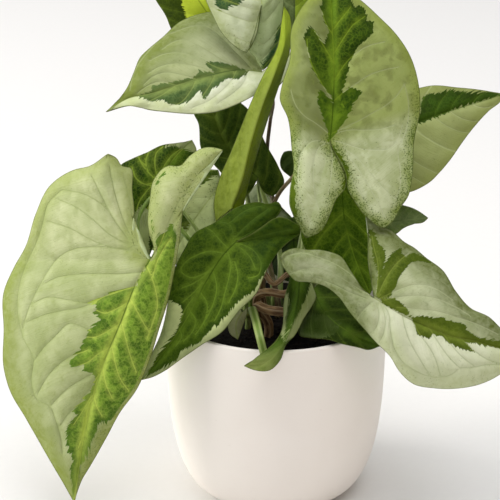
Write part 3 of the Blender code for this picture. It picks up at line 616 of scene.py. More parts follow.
# %% Islands of the second colour, on the sketch plane
ISLANDS = {
    "leaf_front_left": [
        [(-64.5, 22), (-69.5, 10.5), (-79, 7.5), (-88, 4.5), (-94, 1.5), (-90.5, 0.5), (-89.5, -1.5),
         (-91.5, -3.5), (-88, -6), (-88.5, -8), (-94, -12), (-95, -16), (-98.5, -22),
         (-103.5, -27.5), (-102, -30), (-96.5, -29.5), (-97, -32), (-92, -33.5), (-90.5, -36),
         (-91.5, -40.5), (-98, -48.5), (-101.5, -52), (-100, -54.5), (-104.5, -61), (-105, -67),
         (-104, -72), (-101.5, -77), (-103, -82), (-102, -89.5), (-101, -100), (-99.5, -91),
         (-98, -80), (-95.5, -77), (-93, -70.5), (-89, -60), (-87.5, -57.5), (-85.5, -59),
         (-78, -53), (-68, -47), (-38, -12), (-40, 30.5), (-46.5, 31.5), (-49, 35), (-51, 39),
         (-52.5, 41.5), (-53.5, 40), (-55.5, 37), (-59, 36), (-61.5, 29)],
        [(-63.5, 63), (-66.5, 61.5), (-66.5, 50.5), (-65, 37), (-63, 30.5), (-61.5, 38), (-64, 50.5),
         (-62, 56.5), (-55.5, 67), (-47.5, 74), (-38, 78), (-27, 79.5), (-26, 83), (-43, 83),
         (-63, 73)]],
    "leaf_front_middle": [
        [(-51, 2), (-47.5, 0), (-47, -3.5), (-48, -7.5), (-50, -12.5), (-54, -17.5), (-59, -24),
         (-66, -37), (-78, -42), (-78, -12), (-58, 2)],
        [(-2, 22), (-5, 17.5), (-7.5, 13.5), (-11, 7.5), (-15.5, 4.5), (-20, 1), (-23.5, -3.5),
         (-29, -9.5), (-33, -12.5), (-38.5, -18.5), (-44.5, -21), (-47.5, -22.5), (-50, -27.5),
         (-55.5, -30.5), (-61.5, -33.5), (-67.5, -37.5), (-38, -37), (7, 3)]],
    "leaf_upper_left": [
        [(-71, 104.5), (-62, 107.5), (-61.5, 110), (-57, 111), (-53, 111.5), (-48, 112.5),
         (-46, 113.5), (-39.5, 115), (-39, 118), (-36.5, 117), (-31, 117), (-34.5, 119.5),
         (-35.5, 122), (-30, 122), (-25, 121), (-20.5, 120), (-17.5, 118.5), (-13.5, 117.5),
         (-17, 114), (-20.5, 113), (-23.5, 114), (-25.5, 113), (-29, 110), (-32.5, 108), (-34, 105),
         (-36, 102.5), (-37, 105.5), (-38, 107.5), (-39.5, 106.5), (-42.5, 103.5), (-46, 100.5),
         (-50, 100.5), (-54.5, 101.5), (-57, 103), (-63, 102), (-67, 104)]],
    "leaf_upright": [
        [(24.5, 157), (22, 148.5), (23.5, 145), (24, 141.5), (27, 137.5), (25.5, 135), (24, 131.5),
         (20, 136.5), (16.5, 140.5), (14, 134.5), (16, 128), (17.5, 120), (21.5, 113), (27, 105),
         (28.5, 101.5), (25, 105.5), (22, 109), (21.5, 106), (20.5, 102), (23, 96), (25, 90),
         (26.5, 82), (30.5, 87), (34, 92), (37, 97.5), (38.5, 101), (41, 104), (43.5, 107),
         (39, 109), (36.5, 109.5), (34, 107), (33, 108), (35, 113), (36.5, 118.5), (37, 122.5),
         (41.5, 130), (45, 133), (48.5, 136.5), (48.5, 142), (45.5, 142.5), (45, 147.5),
         (41.5, 150.5), (39.5, 149), (38, 152), (37.5, 157)],
        [(7, 89), (8, 78), (9, 65), (9.6, 53), (10.6, 46), (9.5, 43), (7, 50.5), (5.5, 63), (5, 78),
         (5, 87)],
        [(28.5, 80.5), (32, 76), (35.2, 71), (36.6, 66), (36, 60), (34, 57), (32.8, 60), (34.4, 65.5),
         (33, 71), (30, 76), (27, 79.5)]],
    "leaf_top_centre": [
        [(6, 146), (4, 134), (1, 124), (-4, 115), (-8, 117), (-7, 121), (-4, 125.5), (-1, 131.5), (0.5, 139)],
        [(-30.5, 155), (-30, 151.5), (-28.5, 148), (-25, 148), (-23, 149.5), (-19.5, 150),
         (-16.5, 152.5), (-16, 157)]],
    "leaf_front_right": [
        [(46, 39), (48.5, 38), (51.5, 31), (54.5, 27.5), (55, 23.5), (53.5, 17), (51.5, 10),
         (50.5, 4), (50.5, 11), (51, 17), (48.5, 24), (47.5, 31)],
        [(62.5, 29.5), (63, 26), (65, 24), (67.5, 26), (69.5, 26.5), (72, 25), (76, 24.5), (79, 21),
         (70.5, 22.5), (66.5, 21), (65, 18.5), (62, 15.5), (60.5, 11.5), (57.5, 4.5), (52.5, 3.5),
         (50, 4.5), (51.5, 11.5), (53, 17), (55, 23), (58, 26)],
        [(51, 3), (56, 4), (59.5, 3.5), (63, 1.5), (66, -2), (67.5, -5.5), (63, -4), (56, -0.5)],
        [(67.5, -5.5), (73, -5), (77.5, -5.5), (83.5, -6), (88.5, -8), (92.5, -8.5), (95, -10),
         (95.5, -12.5), (101, -15.5), (107, -17), (118, -17.5), (118, -22), (112, -21.5),
         (103.5, -20), (94.5, -18), (97, -20.5), (99, -23), (92.5, -21.5), (87, -19), (83, -15.5),
         (77.5, -14.5), (76.5, -16.5), (75, -16), (71, -14.5), (70, -11.5)]],
    "leaf_right": [
        [(71, 91), (72.5, 101), (74, 104.5), (77, 106.5), (80, 105.5), (82.5, 107), (86.5, 108),
         (93, 107), (102, 107), (114.5, 108), (114.5, 106), (102, 102.5), (92.5, 99.5), (82, 95),
         (76, 92.5)]],
    "leaf_left_small": [
        [(-48, 79), (-45, 78), (-40, 76.5), (-36.5, 78), (-36.5, 86), (-48, 86), (-52, 82),
         (-55, 79.5), (-50, 80)],
        [(-61.5, 45.5), (-63, 38), (-63.5, 30.5), (-62, 22), (-73, 22), (-71, 46), (-67, 50.5)]],
    "leaf_left_grey": [
        [(-53, 55), (-47, 67), (-36, 72), (-24, 72), (-25, 66), (-31, 64.5), (-36, 61.5),
         (-41, 58.5), (-44.5, 53), (-46.5, 50)],
        [(-47.5, 46.5), (-43.5, 45), (-42.5, 42), (-44, 38.5), (-47, 39), (-49.5, 43)]],
    "leaf_on_rim": [
        [(12, -5), (18, -4), (27, -5), (33, -9), (29.5, -14), (21, -17), (12, -17)]],
    "leaf_over_rim": [
        [(3.5, 8), (6, 6), (6.5, 1.5), (5.5, -3), (5, -9.5), (4, -17), (1.5, -12), (1.5, 3)],
        [(18, 13), (16, 7), (13, 0), (10, -6), (6, -13.5), (4, -18), (8, -16), (13, -10), (18, -3),
         (23, 3), (22, 11)]],
    # this island is a patch of painted light: lime where light shines through the blade
    "leaf_top_left": [
        [(-52, 160), (-48, 155), (-46, 148), (-43.5, 142.5), (-40, 138), (-23, 143), (-23, 173),
         (-53, 183)]],
}
print("islands drawn:", sum(len(outlines) for outlines in ISLANDS.values()))

# %% [markdown]
# ## Veins of the large blades
#
# On the large blades the veins are what the eye follows: they leave the midrib at a steep angle,
# fan out into the lobes from the knot, and run into a collecting vein near the margin. No formula
# gives one plant's own veins, so they are drawn, each as a smooth line through a few points.
# The smaller blades get veins from a formula further down.

# %% Drawn veins, on the sketch plane
DRAWN_VEINS = {
    "leaf_front_left": [
        [(-63.5, 23.5), (-70.5, 27), (-79, 28.5), (-91, 29.5), (-100.5, 28.5), (-107, 25.5),
         (-113, 18.5), (-118, 10), (-122.5, 1), (-125.5, -8), (-126.5, -15.5)],
        [(-66.5, 17), (-75.5, 16), (-88, 16), (-100.5, 15.5), (-109.5, 14), (-115.5, 11)],
        [(-70.5, 9.5), (-82, 6.5), (-93.5, 1.5), (-104, 3), (-115, 4), (-121.5, 1)],
        [(-90, 1.5), (-98, -1), (-107, -2.5), (-115.5, -4.5), (-124, -8)],
        [(-93, -12), (-103.5, -9), (-110, -15), (-116, -21), (-121, -28)],
        [(-94, -22), (-104, -26), (-113, -34), (-119, -44)],
        [(-92, -34), (-101, -39), (-108, -45), (-113, -50.5)],
        [(-96, -47), (-103, -53), (-108, -60)],
        [(-126.5, -15.5), (-121, -27), (-122, -37.5), (-118.5, -47.5), (-113, -50), (-110, -57),
         (-107.5, -65), (-106.5, -73)],
        [(-70.5, 29), (-79.5, 41), (-86, 50), (-96, 56), (-107, 58)],
        [(-70.5, 29), (-84, 36.5), (-90.5, 42.5), (-99, 49), (-109, 53.5)],
        [(-70, 28), (-82, 29.5), (-92, 33), (-102, 38.5), (-114, 42.5)],
        [(-70, 30), (-78, 39), (-84, 49), (-88.5, 58), (-92, 65)],
        [(-69.5, 30.5), (-75, 40), (-79, 51), (-82, 62), (-83.5, 70)],
        [(-69, 31.5), (-71, 42), (-73.5, 54), (-76.5, 65)],
        [(-107, 58), (-114, 50.5), (-116, 42.5), (-119, 33), (-124, 22), (-128, 10.5), (-129, -3),
         (-126.5, -15.5)],
        [(-64.5, 20), (-60.5, 9), (-59.5, 0), (-62, -9), (-64.5, -16)],
        [(-72.5, 3), (-69.5, -2.5), (-66, -9), (-63, -14)],
        [(-77, -8), (-75, -17), (-72.5, -26), (-70, -33)],
        [(-82, -19), (-80.5, -28), (-77.5, -37), (-74, -42)],
        [(-86.5, -30), (-85, -39), (-82, -46)],
        [(-90.5, -41), (-90, -49), (-87, -55)],
        [(-94.5, -52), (-96, -62), (-99, -71)],
        [(-70, 10.5), (-79, 7), (-88, 4), (-94, 1.5)],
        [(-74, 2), (-80, -1.5), (-86, -3.5), (-90, -2)],
        [(-78.5, -9), (-85, -13), (-90.5, -15.5), (-94.5, -15.5)],
        [(-83.5, -21), (-89, -24), (-94, -28), (-98, -29.5)],
        [(-88.5, -34), (-93, -41), (-98, -48)],
        [(-92.5, -45), (-97, -53), (-101, -59)],
        [(-52.5, 34), (-56.5, 28), (-59.5, 22), (-61.5, 15)],
        [(-63, 22), (-58, 31), (-54, 41), (-48, 53), (-40, 63)]],
    "leaf_front_middle": [
        [(-24, 29), (-28, 33), (-32, 37.5), (-35.5, 39.5)],
        [(-22, 32), (-21.5, 37), (-23.5, 41), (-27.5, 42)],
        [(-26, 26.5), (-33, 27.5), (-39.5, 25.5), (-44.5, 22.5), (-47.5, 18), (-43.5, 14.5),
         (-36.5, 16), (-31, 20.5)],
        [(-31.5, 19.5), (-36.5, 14.5), (-42, 11), (-47, 9)],
        [(-36.5, 12), (-41.5, 6.5), (-46.5, 2)],
        [(-41, 4.5), (-45, -1), (-47.5, -7)],
        [(-20, 31.5), (-15, 30), (-10, 26.5), (-7.5, 21), (-9, 15.5), (-13.5, 14)],
        [(-24, 27), (-22.5, 21), (-23.5, 14), (-25.5, 6.5), (-27.5, -1), (-30.5, -7)],
        [(-17.5, 29), (-13, 24.5), (-10.5, 19)],
        [(-20.5, 22), (-19, 15), (-20.5, 8), (-23.5, 2)],
        [(-31, 17), (-29.5, 10), (-31, 2), (-34, -5), (-38, -11)],
        [(-37.5, 7), (-34.5, 2), (-34.5, -3.5), (-36.5, -9), (-40, -14)],
        [(-43, -2), (-40, -7), (-41.5, -12.5), (-46, -17.5)],
        [(-49, -10), (-47, -15), (-50, -20)],
        [(-19, 32.5), (-12, 34), (-4, 36), (2.5, 37.5), (8, 38.5)],
        [(-21, 34), (-16.5, 38.5), (-10.5, 44), (-4, 48.5)],
        [(-20.5, 33), (-13, 36.5), (-7, 40), (-2, 44.5)],
        [(-7, 50), (-12, 49), (-18, 46), (-22.5, 42)]],
    "leaf_upright": [
        [(28.5, 86.5), (34.5, 89.5), (41, 92.5), (48, 96.5), (55, 100.5), (60.5, 105.5), (64, 111)],
        [(29, 86), (36, 88), (44.5, 88), (52.5, 88.5), (59, 90.5)],
        [(30, 82.5), (37, 80.5), (43, 78.5), (49.5, 78), (56, 78.5), (60.5, 83), (63, 90)],
        [(34, 79), (40, 74.5), (45, 69), (50, 63), (55, 57.5), (59.5, 53.5)],
        [(35, 76.5), (40, 70), (44, 64), (47.5, 58), (51.5, 51), (54.5, 44.5)],
        [(36.5, 67), (39.5, 61), (43.5, 54.5), (47.5, 48.5)],
        [(29.5, 103), (34.5, 107.5), (40.5, 111.5), (45.5, 115), (52, 117.5), (61, 119.5)],
        [(30, 114), (34.5, 121), (39.5, 126), (46, 130), (54, 132)],
        [(29.5, 127), (34.5, 135), (38.5, 140.5), (44, 144.5)],
        [(28.5, 138), (32.5, 143.5), (37, 149)],
        [(26.5, 86), (23, 89), (19, 92), (15, 94.5), (11.5, 98), (9, 102.5), (7.5, 108)],
        [(27.5, 104), (24.5, 108.5), (21, 114.5), (18, 120.5), (16, 127), (15.5, 133)],
        [(28.5, 122), (25, 128), (22, 133), (19, 138)],
        [(28, 136), (25, 141), (23, 147)],
        [(26, 81.5), (21.5, 79.5), (19.5, 75), (18.5, 67), (19, 58), (21, 49)],
        [(27, 81.5), (28, 74), (27.5, 65), (26, 56)],
        [(25.5, 82), (18.5, 82.5), (13.5, 78), (11.5, 70), (11.5, 59), (13.5, 48)],
        [(64, 111), (66, 103), (66, 94), (64, 85), (61, 78), (62, 68), (62, 60), (60, 53.5)]],
    "leaf_upper_left": [
        [(-12, 118.5), (-20.5, 127), (-27, 134), (-32, 138), (-36.5, 140), (-43, 139.5), (-49, 137.5)],
        [(-14, 118), (-20.5, 120), (-27, 123), (-34, 127.5), (-40.5, 131), (-46.5, 133), (-52, 131.5),
         (-57, 128)],
        [(-22, 117.5), (-30.5, 119.5), (-37, 123), (-43, 125.5), (-50, 126.5), (-57, 125.5),
         (-63, 122.5)],
        [(-30.5, 116), (-37.5, 119), (-44, 120.5), (-51, 121), (-58, 119.5), (-64, 116)],
        [(-40, 113.5), (-48, 115.5), (-55.5, 116.5), (-61.5, 114.5), (-66, 110.5)],
        [(-50, 110.5), (-58, 112), (-64, 110), (-69, 106.5)],
        [(-49, 137.5), (-57, 134), (-63, 128), (-68, 122), (-71.5, 115), (-73, 108)],
        [(-20, 117.5), (-22, 113), (-26.5, 108), (-33.5, 102.5), (-42, 99)],
        [(-30.5, 115.5), (-33, 110.5), (-37, 104.5)],
        [(-40, 112.5), (-43, 107), (-48, 101.5), (-53, 100)],
        [(-14, 117), (-16.5, 111), (-22, 106), (-29.5, 101)],
        [(-51, 109.5), (-57, 105.5), (-64, 102)]],
    "leaf_front_right": [
        [(53.5, 1), (56.5, -4.5), (57, -11), (58.5, -18), (61, -24), (65, -29.5), (70, -33)],
        [(63, -4.5), (65, -13), (68, -20), (71.5, -26), (74.5, -31), (77, -34.5)],
        [(67.5, -6.5), (72, -14.5), (77, -21.5), (80, -27.5), (82, -34.5)],
        [(76, -10), (80.5, -17.5), (85, -24), (88.5, -28), (92, -31)],
        [(82.5, -12.5), (88, -20), (93.5, -26), (99, -30)],
        [(92, -16), (99, -22.5), (106, -27), (113, -29)],
        [(50, 1.5), (51.5, -4.5), (50, -11), (46.5, -15)],
        [(52, 1.5), (54.5, -5.5), (54, -13), (51.5, -18.5)],
        [(58.5, -19.5), (62, -26), (67, -30.5), (74.5, -34.5), (82, -35.5), (88, -34), (92, -31),
         (97, -31), (104.5, -29.5), (113, -29.5)],
        [(52, 4), (57.5, 6.5), (63.5, 9), (69.5, 10.5), (76, 10), (82.5, 7), (88, 3)],
        [(54, 3), (62, 4.5), (72, 5), (82, 3), (89.5, -0.5), (97, -5)],
        [(60.5, -0.5), (69.5, -1.5), (79.5, -2.5), (89.5, -5.5), (100, -9), (110.5, -14)],
        [(51, 5), (53.5, 11), (57, 17), (61, 22), (66, 26)],
        [(50, 6), (51, 13), (51, 21), (49, 29), (48, 35)],
        [(47, 4.5), (37, 11.5), (27, 17), (17, 19), (9.5, 17), (4.5, 15)],
        [(46, 5.5), (38, 15), (29.5, 21), (21, 24.5), (12, 26.5), (5, 25)],
        [(48, 2), (43, -3), (40, -8)],
        [(45, 3.5), (36, 7), (28, 11), (21, 13.5)]],
    "leaf_left_small": [
        [(-59.5, 63), (-64, 67), (-68, 73), (-69.5, 78)],
        [(-59, 64), (-60.5, 70.5), (-59.5, 77), (-56.5, 79.5)],
        [(-58.5, 64), (-56, 70), (-52, 75.5), (-47, 79)],
        [(-58, 63), (-52, 67), (-47, 70.5)],
        [(-59.5, 62.5), (-65.5, 61), (-70, 64), (-72, 69)],
        [(-60, 62), (-65.5, 56.5), (-69, 50.5), (-69.5, 43)],
        [(-59, 61.5), (-62, 55), (-64, 47), (-66, 39)],
        [(-63, 50.5), (-66.5, 46), (-68, 37)],
        [(-64, 67), (-65, 73), (-63, 78)]],
}
print("veins drawn:", sum(len(lines) for lines in DRAWN_VEINS.values()))

# %% [markdown]
# ## What each blade looks like
#
# `ground` names the colour of most of the blade and the islands take the other one. The pale parts
# have a light and a shaded tone, darker clouds and a greener margin `band` mm wide; the green
# parts have a dark and a middle tone, the tone of their veins and the glow beside the midrib.
# `veins` is how many side veins leave the midrib on each half where none are drawn, `speckle` how
# thickly green dots are strewn near the margin, `speckle_from` how far down the blade they start
# (0 at the tip, 1 at the knot), `show` how clearly the veins are seen, `rim` how far from the edge
# an island stops, `fray` how far its border wanders, and `relief` how deep the veins are pressed,
# the last three in mm. A part of a blade can have tones of its own: `tip`, `low` (the part near
# the knot), `lobe`, `west` and `east` name the values that differ there. On some blades these
# are painted light and painted shade, where light falls differently on that part.

# %% Tones of the blades
PALE_LEAF = {"ground": "pale", "pale": "C2CA96", "shade": "AEB87E", "edge": "A0AB60", "cloud": "8C9860",
             "clouds": 0.2, "band": 8.0, "rim": 0.2, "fray": 4.2, "dots": "4C621C", "line": "B4BE88",
             "dark": "40600F", "mid": "6A8430", "vein": "B0C256", "glow": "9CAC52", "veins": 8,
             "speckle": 0.2, "speckle_from": 0.5, "show": 0.4, "relief": 0.45, "under": "B4C494"}
GREEN_LEAF = {"ground": "green", "pale": "9CA66E", "shade": "8E9962", "edge": "8D9765", "cloud": "6F7A48",
              "clouds": 0.1, "band": 4.0, "rim": -1.0, "fray": 3.6, "dots": "4C621C", "line": "A0AA78",
              "dark": "243A03", "mid": "3E540C", "vein": "6C862C", "glow": "506C1A", "veins": 7,
              "speckle": 0.0, "speckle_from": 0.0, "show": 0.35, "relief": 0.35, "under": "6F8A4C"}
LOOKS = {
    "leaf_front_left": {**PALE_LEAF, "pale": "B4BD8B", "shade": "A1AC76", "edge": "86933F", "band": 11.0,
                        "cloud": "8E9A5C", "clouds": 0.3, "line": "9CA96C", "show": 0.5, "dark": "43641B",
                        "mid": "779931", "vein": "C1D45E", "glow": "B3C656", "relief": 0.6,
                        "speckle": 0.1, "speckle_from": 0.0,
                        "lobe": {"pale": "C8CF9F", "shade": "B4BE89", "edge": "9CA860"},
                        "low": {"edge": "8A9846"}, "east": {"speckle": 0.4, "rim": 1.5}},
    "leaf_front_middle": {**GREEN_LEAF, "shade": "B0BC80", "pale": "C0CA8C", "dark": "263D03",
                          "mid": "435A0D", "vein": "728E2B", "glow": "647F21", "show": 0.45,
                          "lobe": {"mid": "3C5208", "vein": "4E6820"}},
    "leaf_over_rim": {**GREEN_LEAF, "veins": 9, "dark": "223402", "mid": "2E4206", "vein": "46621A",
                      "pale": "8D9A62", "shade": "7F8D50", "relief": 0.1,
                      "tip": {"dark": "7C903E", "mid": "A0AE64", "vein": "9EAC62", "glow": "8C9C50"}},
    "leaf_front_right": {**PALE_LEAF, "fray": 2.4, "pale": "E4E9CA", "shade": "D6DDB8", "edge": "B9C292",
                         "cloud": "A3AE80", "line": "B2BD8C", "speckle": 0.2, "speckle_from": 0.0,
                         "dark": "42540E", "mid": "5A6C18", "vein": "8A9A40", "glow": "7C8E30",
                         "relief": 0.55, "band": 15.0,
                         "east": {"pale": "C6CEA4", "shade": "A4AE7C", "edge": "5C6828",
                                  "cloud": "7F8A56", "line": "BCC498", "speckle": 0.25},
                         "lobe": {"pale": "D0D7B2", "shade": "B0BA90", "edge": "707C42", "speckle": 0.25}},
    "leaf_hanging_green": {**GREEN_LEAF, "dark": "365304", "mid": "537011", "vein": "8FAE31",
                           "glow": "5A761A", "veins": 6},
    "leaf_upright": {**PALE_LEAF, "pale": "A5B369", "shade": "8E9D54", "edge": "8C9A46",
                     "cloud": "737C42", "clouds": 0.6, "band": 7.0, "line": "B2BC88", "speckle": 0.5,
                     "speckle_from": 0.75, "fray": 2.6, "dark": "203600", "mid": "3E580C", "vein": "839D28",
                     "glow": "739324", "relief": 0.35, "low": {"dark": "304C06", "mid": "6C8C1C"},
                     "west": {"pale": "8A955E", "shade": "747E48", "cloud": "606A34"},
                     "lobe": {"dark": "425A0A", "mid": "6E8420", "pale": "D2DAB0", "shade": "BFC99A",
                              "edge": "82943E", "line": "CCD4AC",
                              "cloud": "9AA866", "clouds": 0.5, "band": 6.5, "speckle": 0.65}},
    "leaf_young_rolled": {**GREEN_LEAF, "dark": "738326", "mid": "8F9F3C", "vein": "94A44A",
                          "glow": "94A446", "veins": 12, "relief": 0.06, "show": 0.2,
                          # painted light: the `tip` tones make the tip bright lime, as light shining through
                          # the blade
                          "tip": {"dark": "86A01C", "mid": "A6BC36", "vein": "A0B634", "glow": "AABE3C"},
                          # painted shade: the `east` tones darken the half that faces away from the light
                          "east": {"dark": "4C5C00", "mid": "6A8004", "vein": "627204", "glow": "6A7C06"}},
    "leaf_upper_left": {**PALE_LEAF, "pale": "A8B07F", "shade": "949E6D", "edge": "728031",
                        "cloud": "78834F", "clouds": 0.4, "line": "A6B07E", "dark": "3E5529",
                        "mid": "5C7743", "vein": "8E9F56", "glow": "86974E", "speckle": 0.1,
                        "band": 14.0, "fray": 2.4, "tip": {"pale": "94A052"},
                        # painted light: the `low` tones lighten the part near the knot, where the blade above
                        # casts its shadow
                        "low": {"pale": "C2CA9E", "shade": "AEB688", "cloud": "A8B284"},
                        "lobe": {"pale": "D6DCB8", "shade": "C2CAA0", "edge": "A8B280", "band": 4.0},
                        "east": {"pale": "F4F7E2", "shade": "E8EED2", "edge": "C6D098",
                                 "cloud": "BCC698", "line": "C6CEA4"}},
    "leaf_top_centre": {**PALE_LEAF, "veins": 6, "pale": "D9E1BF", "shade": "C5CEA9", "edge": "A0AB74",
                        "cloud": "9AA57C", "clouds": 0.4, "speckle": 0.3, "speckle_from": 1.3,
                        "dark": "2C4A2A", "mid": "48683C",
                        # painted shade: the `east` tones darken the half that tilts away from the light
                        "east": {"pale": "BCC99A", "shade": "A4B282", "edge": "98A870", "cloud": "8E9E6C"}},
    # painted light: the lime pale tones of this blade's island stand for light shining through it
    "leaf_top_left": {**GREEN_LEAF, "dark": "2E3E02", "mid": "3E4F06", "vein": "5A6E18", "pale": "C3D43E",
                      "shade": "A9BA2E", "edge": "A8BC32", "cloud": "93A724", "line": "B4C640",
                      "veins": 6, "relief": 0.3},
    "leaf_top_back": {**GREEN_LEAF, "dark": "5A6E12", "mid": "70861E", "vein": "8AA032", "glow": "82982A",
                      # the `west` tones are the half's own grey-green, darkened by painted shade where it
                      # fills the dark gap behind the leaves in front
                      "veins": 6, "west": {"dark": "38481C", "mid": "66754A", "vein": "7C8A58",
                                           "glow": "5A6A38"}},
    "leaf_right": {**PALE_LEAF, "pale": "A0A96D", "shade": "8E975C", "edge": "8A9450", "cloud": "79834A",
                   "veins": 6, "dark": "283C02", "mid": "34500A", "vein": "5C7A22", "glow": "3E5A10",
                   "speckle": 0.15},
    "leaf_small_right": {**GREEN_LEAF, "dark": "4F6431", "mid": "677D3D", "vein": "7C8C58",
                         "glow": "66784A", "veins": 5},
    "leaf_small_back": {**GREEN_LEAF, "dark": "24360A", "mid": "34481A", "vein": "4C6028", "veins": 5},
    "leaf_back_dark": {**GREEN_LEAF, "dark": "223803", "mid": "364A0E", "vein": "66782A", "glow": "50621A",
                       "veins": 6},
    "leaf_left_small": {**GREEN_LEAF, "dark": "1C3201", "mid": "344F06", "vein": "8CA238",
                        "glow": "5C781A", "pale": "9AA66C", "shade": "86925A", "show": 0.6},
    "leaf_left_grey": {**PALE_LEAF, "pale": "D9E6A6", "shade": "C8D593", "edge": "94A068", "veins": 5,
                       "show": 0.1, "relief": 0.15, "dark": "34480C", "mid": "46601C",
                       "speckle": 0.4, "speckle_from": 0.0},
    "leaf_on_rim": {**GREEN_LEAF, "dark": "1C2C02", "mid": "2C3E08", "vein": "52661E", "veins": 5,
                    "relief": 0.2, "pale": "384C12", "shade": "2E400C", "edge": "5C6C3C", "line": "4C6022"},
    "leaf_low_left": {**PALE_LEAF, "pale": "CFCFA8", "shade": "A9AA80", "edge": "A2A676", "veins": 2,
                      "relief": 0.05, "speckle": 0.0},
    # painted shade: these near-black tones stand for the deep shade in the gap behind the crown of stalks
    "leaf_behind_crown": {**GREEN_LEAF, "dark": "1C2A12", "mid": "263618", "vein": "3C4C28", "veins": 5,
                          "lobe": {"dark": "7E8A66", "mid": "929C7A", "vein": "A4AC8C"}},
    "leaf_back_low": {**GREEN_LEAF, "veins": 5},
    "leaf_back_right": {**PALE_LEAF, "veins": 5, "pale": "BAC296", "speckle_from": 0.0},
    "leaf_back_left": {**GREEN_LEAF, "veins": 5},
}
print("pale blades:", sum(look["ground"] == "pale" for look in LOOKS.values()), "of", len(LOOKS))

# %% [markdown]
# ## A fine sheet for each blade
#
# The mesh follows the leaf's own growth. Rows start on the midrib and reach to the edge, so side
# veins can run along them, and a second strip fills the lobe between its vein and the notch. At
# every point the sheet knows its place among the side veins (`phase`, whose fraction is a half on
# each vein), how far down the blade it is (`down`, 1 at the knot), and its depth.

# %% The rows and columns of one half
ROW_STEP = 1.0
COLUMN_STEP = 1.15
FEWEST_COLUMNS = 5
FULL_SWELL_REACH = 30.0
VEIN_SWEEP = 0.16
VEIN_JITTER = 0.22


def vein_phase(along, reach, veins):
    """Counts side veins: each leaves the midrib and sweeps towards the tip as it runs outward."""
    swept = veins * (along + VEIN_SWEEP * reach**1.4)
    return swept + VEIN_JITTER * np.sin(1.9 * swept + 0.6)


def strip(spine, rim, along, half, belly, veins):
    """Points and growth numbers of a strip between a vein and an edge, as flat arrays."""
    width = np.linalg.norm(rim - spine[:, :2], axis=1)
    columns = max(FEWEST_COLUMNS, math.ceil(width.max() / COLUMN_STEP))
    share = np.linspace(0.0, 1.0, columns + 1)[None, :, None]
    flat = spine[:, None, :2] + (rim - spine[:, :2])[:, None] * share
    swell = belly * np.minimum(1.0, width / FULL_SWELL_REACH)[:, None] * np.sin(math.pi * share[..., 0])
    near = spine[:, None, 2] + half["slope"] * width[:, None] * share[..., 0] + swell
    phase = vein_phase(along[:, None], share[..., 0], veins)
    down = np.broadcast_to(along[:, None], near.shape)
    corner = np.arange(near.size).reshape(near.shape)
    quads = np.stack([corner[:-1, :-1], corner[:-1, 1:], corner[1:, 1:], corner[1:, :-1]], -1)
    points = np.concatenate([flat, near[..., None]], -1)
    growth = np.stack([phase, down], -1)
    return points.reshape(-1, 3), growth.reshape(-1, 2), quads.reshape(-1, 4)


def half_blade(rib, half, belly, veins):
    """The outer strip, round the midrib and the lobe's vein, and the strip along the notch."""
    rib = np.array(rib, float)
    tip, knot, lobe = rib[0], rib[-1], np.array(half["lobe"], float)
    edge = [tip[:2]] + [np.array(p, float) for p in half["edge"]] + [lobe[:2]]
    notch = [lobe[:2]] + [np.array(p, float) for p in half["notch"]] + [knot[:2]]
    turn = side_vein_share(tip[:2], knot[:2], edge)
    rib_length = path_length(rib[:, :2])
    lobe_length = np.linalg.norm((lobe - knot)[:2])
    rib_rows = np.linspace(0.0, 1.0, math.ceil(rib_length / ROW_STEP) + 1)
    lobe_rows = np.linspace(0.0, 1.0, math.ceil(lobe_length / ROW_STEP) + 1)
    lobe_vein = knot + (lobe - knot) * lobe_rows[:, None]
    spine = np.vstack([smooth(rib, rib_rows), lobe_vein[1:]])
    rim = smooth(edge, np.concatenate([rib_rows * turn, turn + (1 - turn) * lobe_rows[1:]]))
    inner = smooth(notch, 1.0 - lobe_rows)
    past_knot = 1.0 + lobe_rows * lobe_length / rib_length
    along = np.concatenate([rib_rows, past_knot[1:]])
    outline = np.vstack([rim, inner[::-1]])
    return [strip(spine, rim, along, half, belly, veins),
            strip(lobe_vein, inner, past_knot, half, belly, veins)], outline


front = LEAVES["leaf_front_left"]
sheets, _ = half_blade(front["rib"], front["west"], front["belly"], 9)
print("points in the large blade's west half:", sum(len(points) for points, _, _ in sheets))

# %% [markdown]
# ## Distances that the finish reads
#
# Distances steer the colours: to the margin, to the midrib, to the nearest vein and into the
# nearest island. Each is the distance to a drawn line, so two functions serve them all. An island
# distance gets a sign from counting how often a level line crosses the outline. A vein distance
# gets one from the side of the vein that the point is on: a number that passes smoothly through
# zero on the vein keeps a thin line sharp on a mesh that is coarser than the line.

# %% Distance to a line, and depth inside an island
FARTHEST_ISLAND = 12.0
VEIN_POINTS = 40


def distance_to(points, line, signed=False):
    """Distance in mm from each point to a line; with a sign for its side, if asked."""
    start, span = line[:-1], np.diff(line, axis=0)
    keep = (span**2).sum(1) > 0.0
    start, span = start[keep], span[keep]
    away = points[:, None] - start
    share = np.clip((away * span).sum(2) / (span**2).sum(1), 0.0, 1.0)
    length = np.sqrt(((away - share[..., None] * span)**2).sum(2))
    if not signed:
        return length.min(1)
    nearest = length.argmin(1)
    rows = np.arange(len(points))
    side = span[nearest, 0] * away[rows, nearest, 1] - span[nearest, 1] * away[rows, nearest, 0]
    return length[rows, nearest] * np.where(side < 0.0, -1.0, 1.0)


def off_veins(points, phase, spacing, lines):
    """Signed distance in mm to the nearest vein, drawn or from the formula."""
    if not lines:
        return (phase - np.floor(phase) - 0.5) * spacing
    shares = np.linspace(0.0, 1.0, VEIN_POINTS)
    away = np.array([distance_to(points, smooth(line, shares), signed=True) for line in lines])
    return away[np.abs(away).argmin(0), np.arange(len(points))]


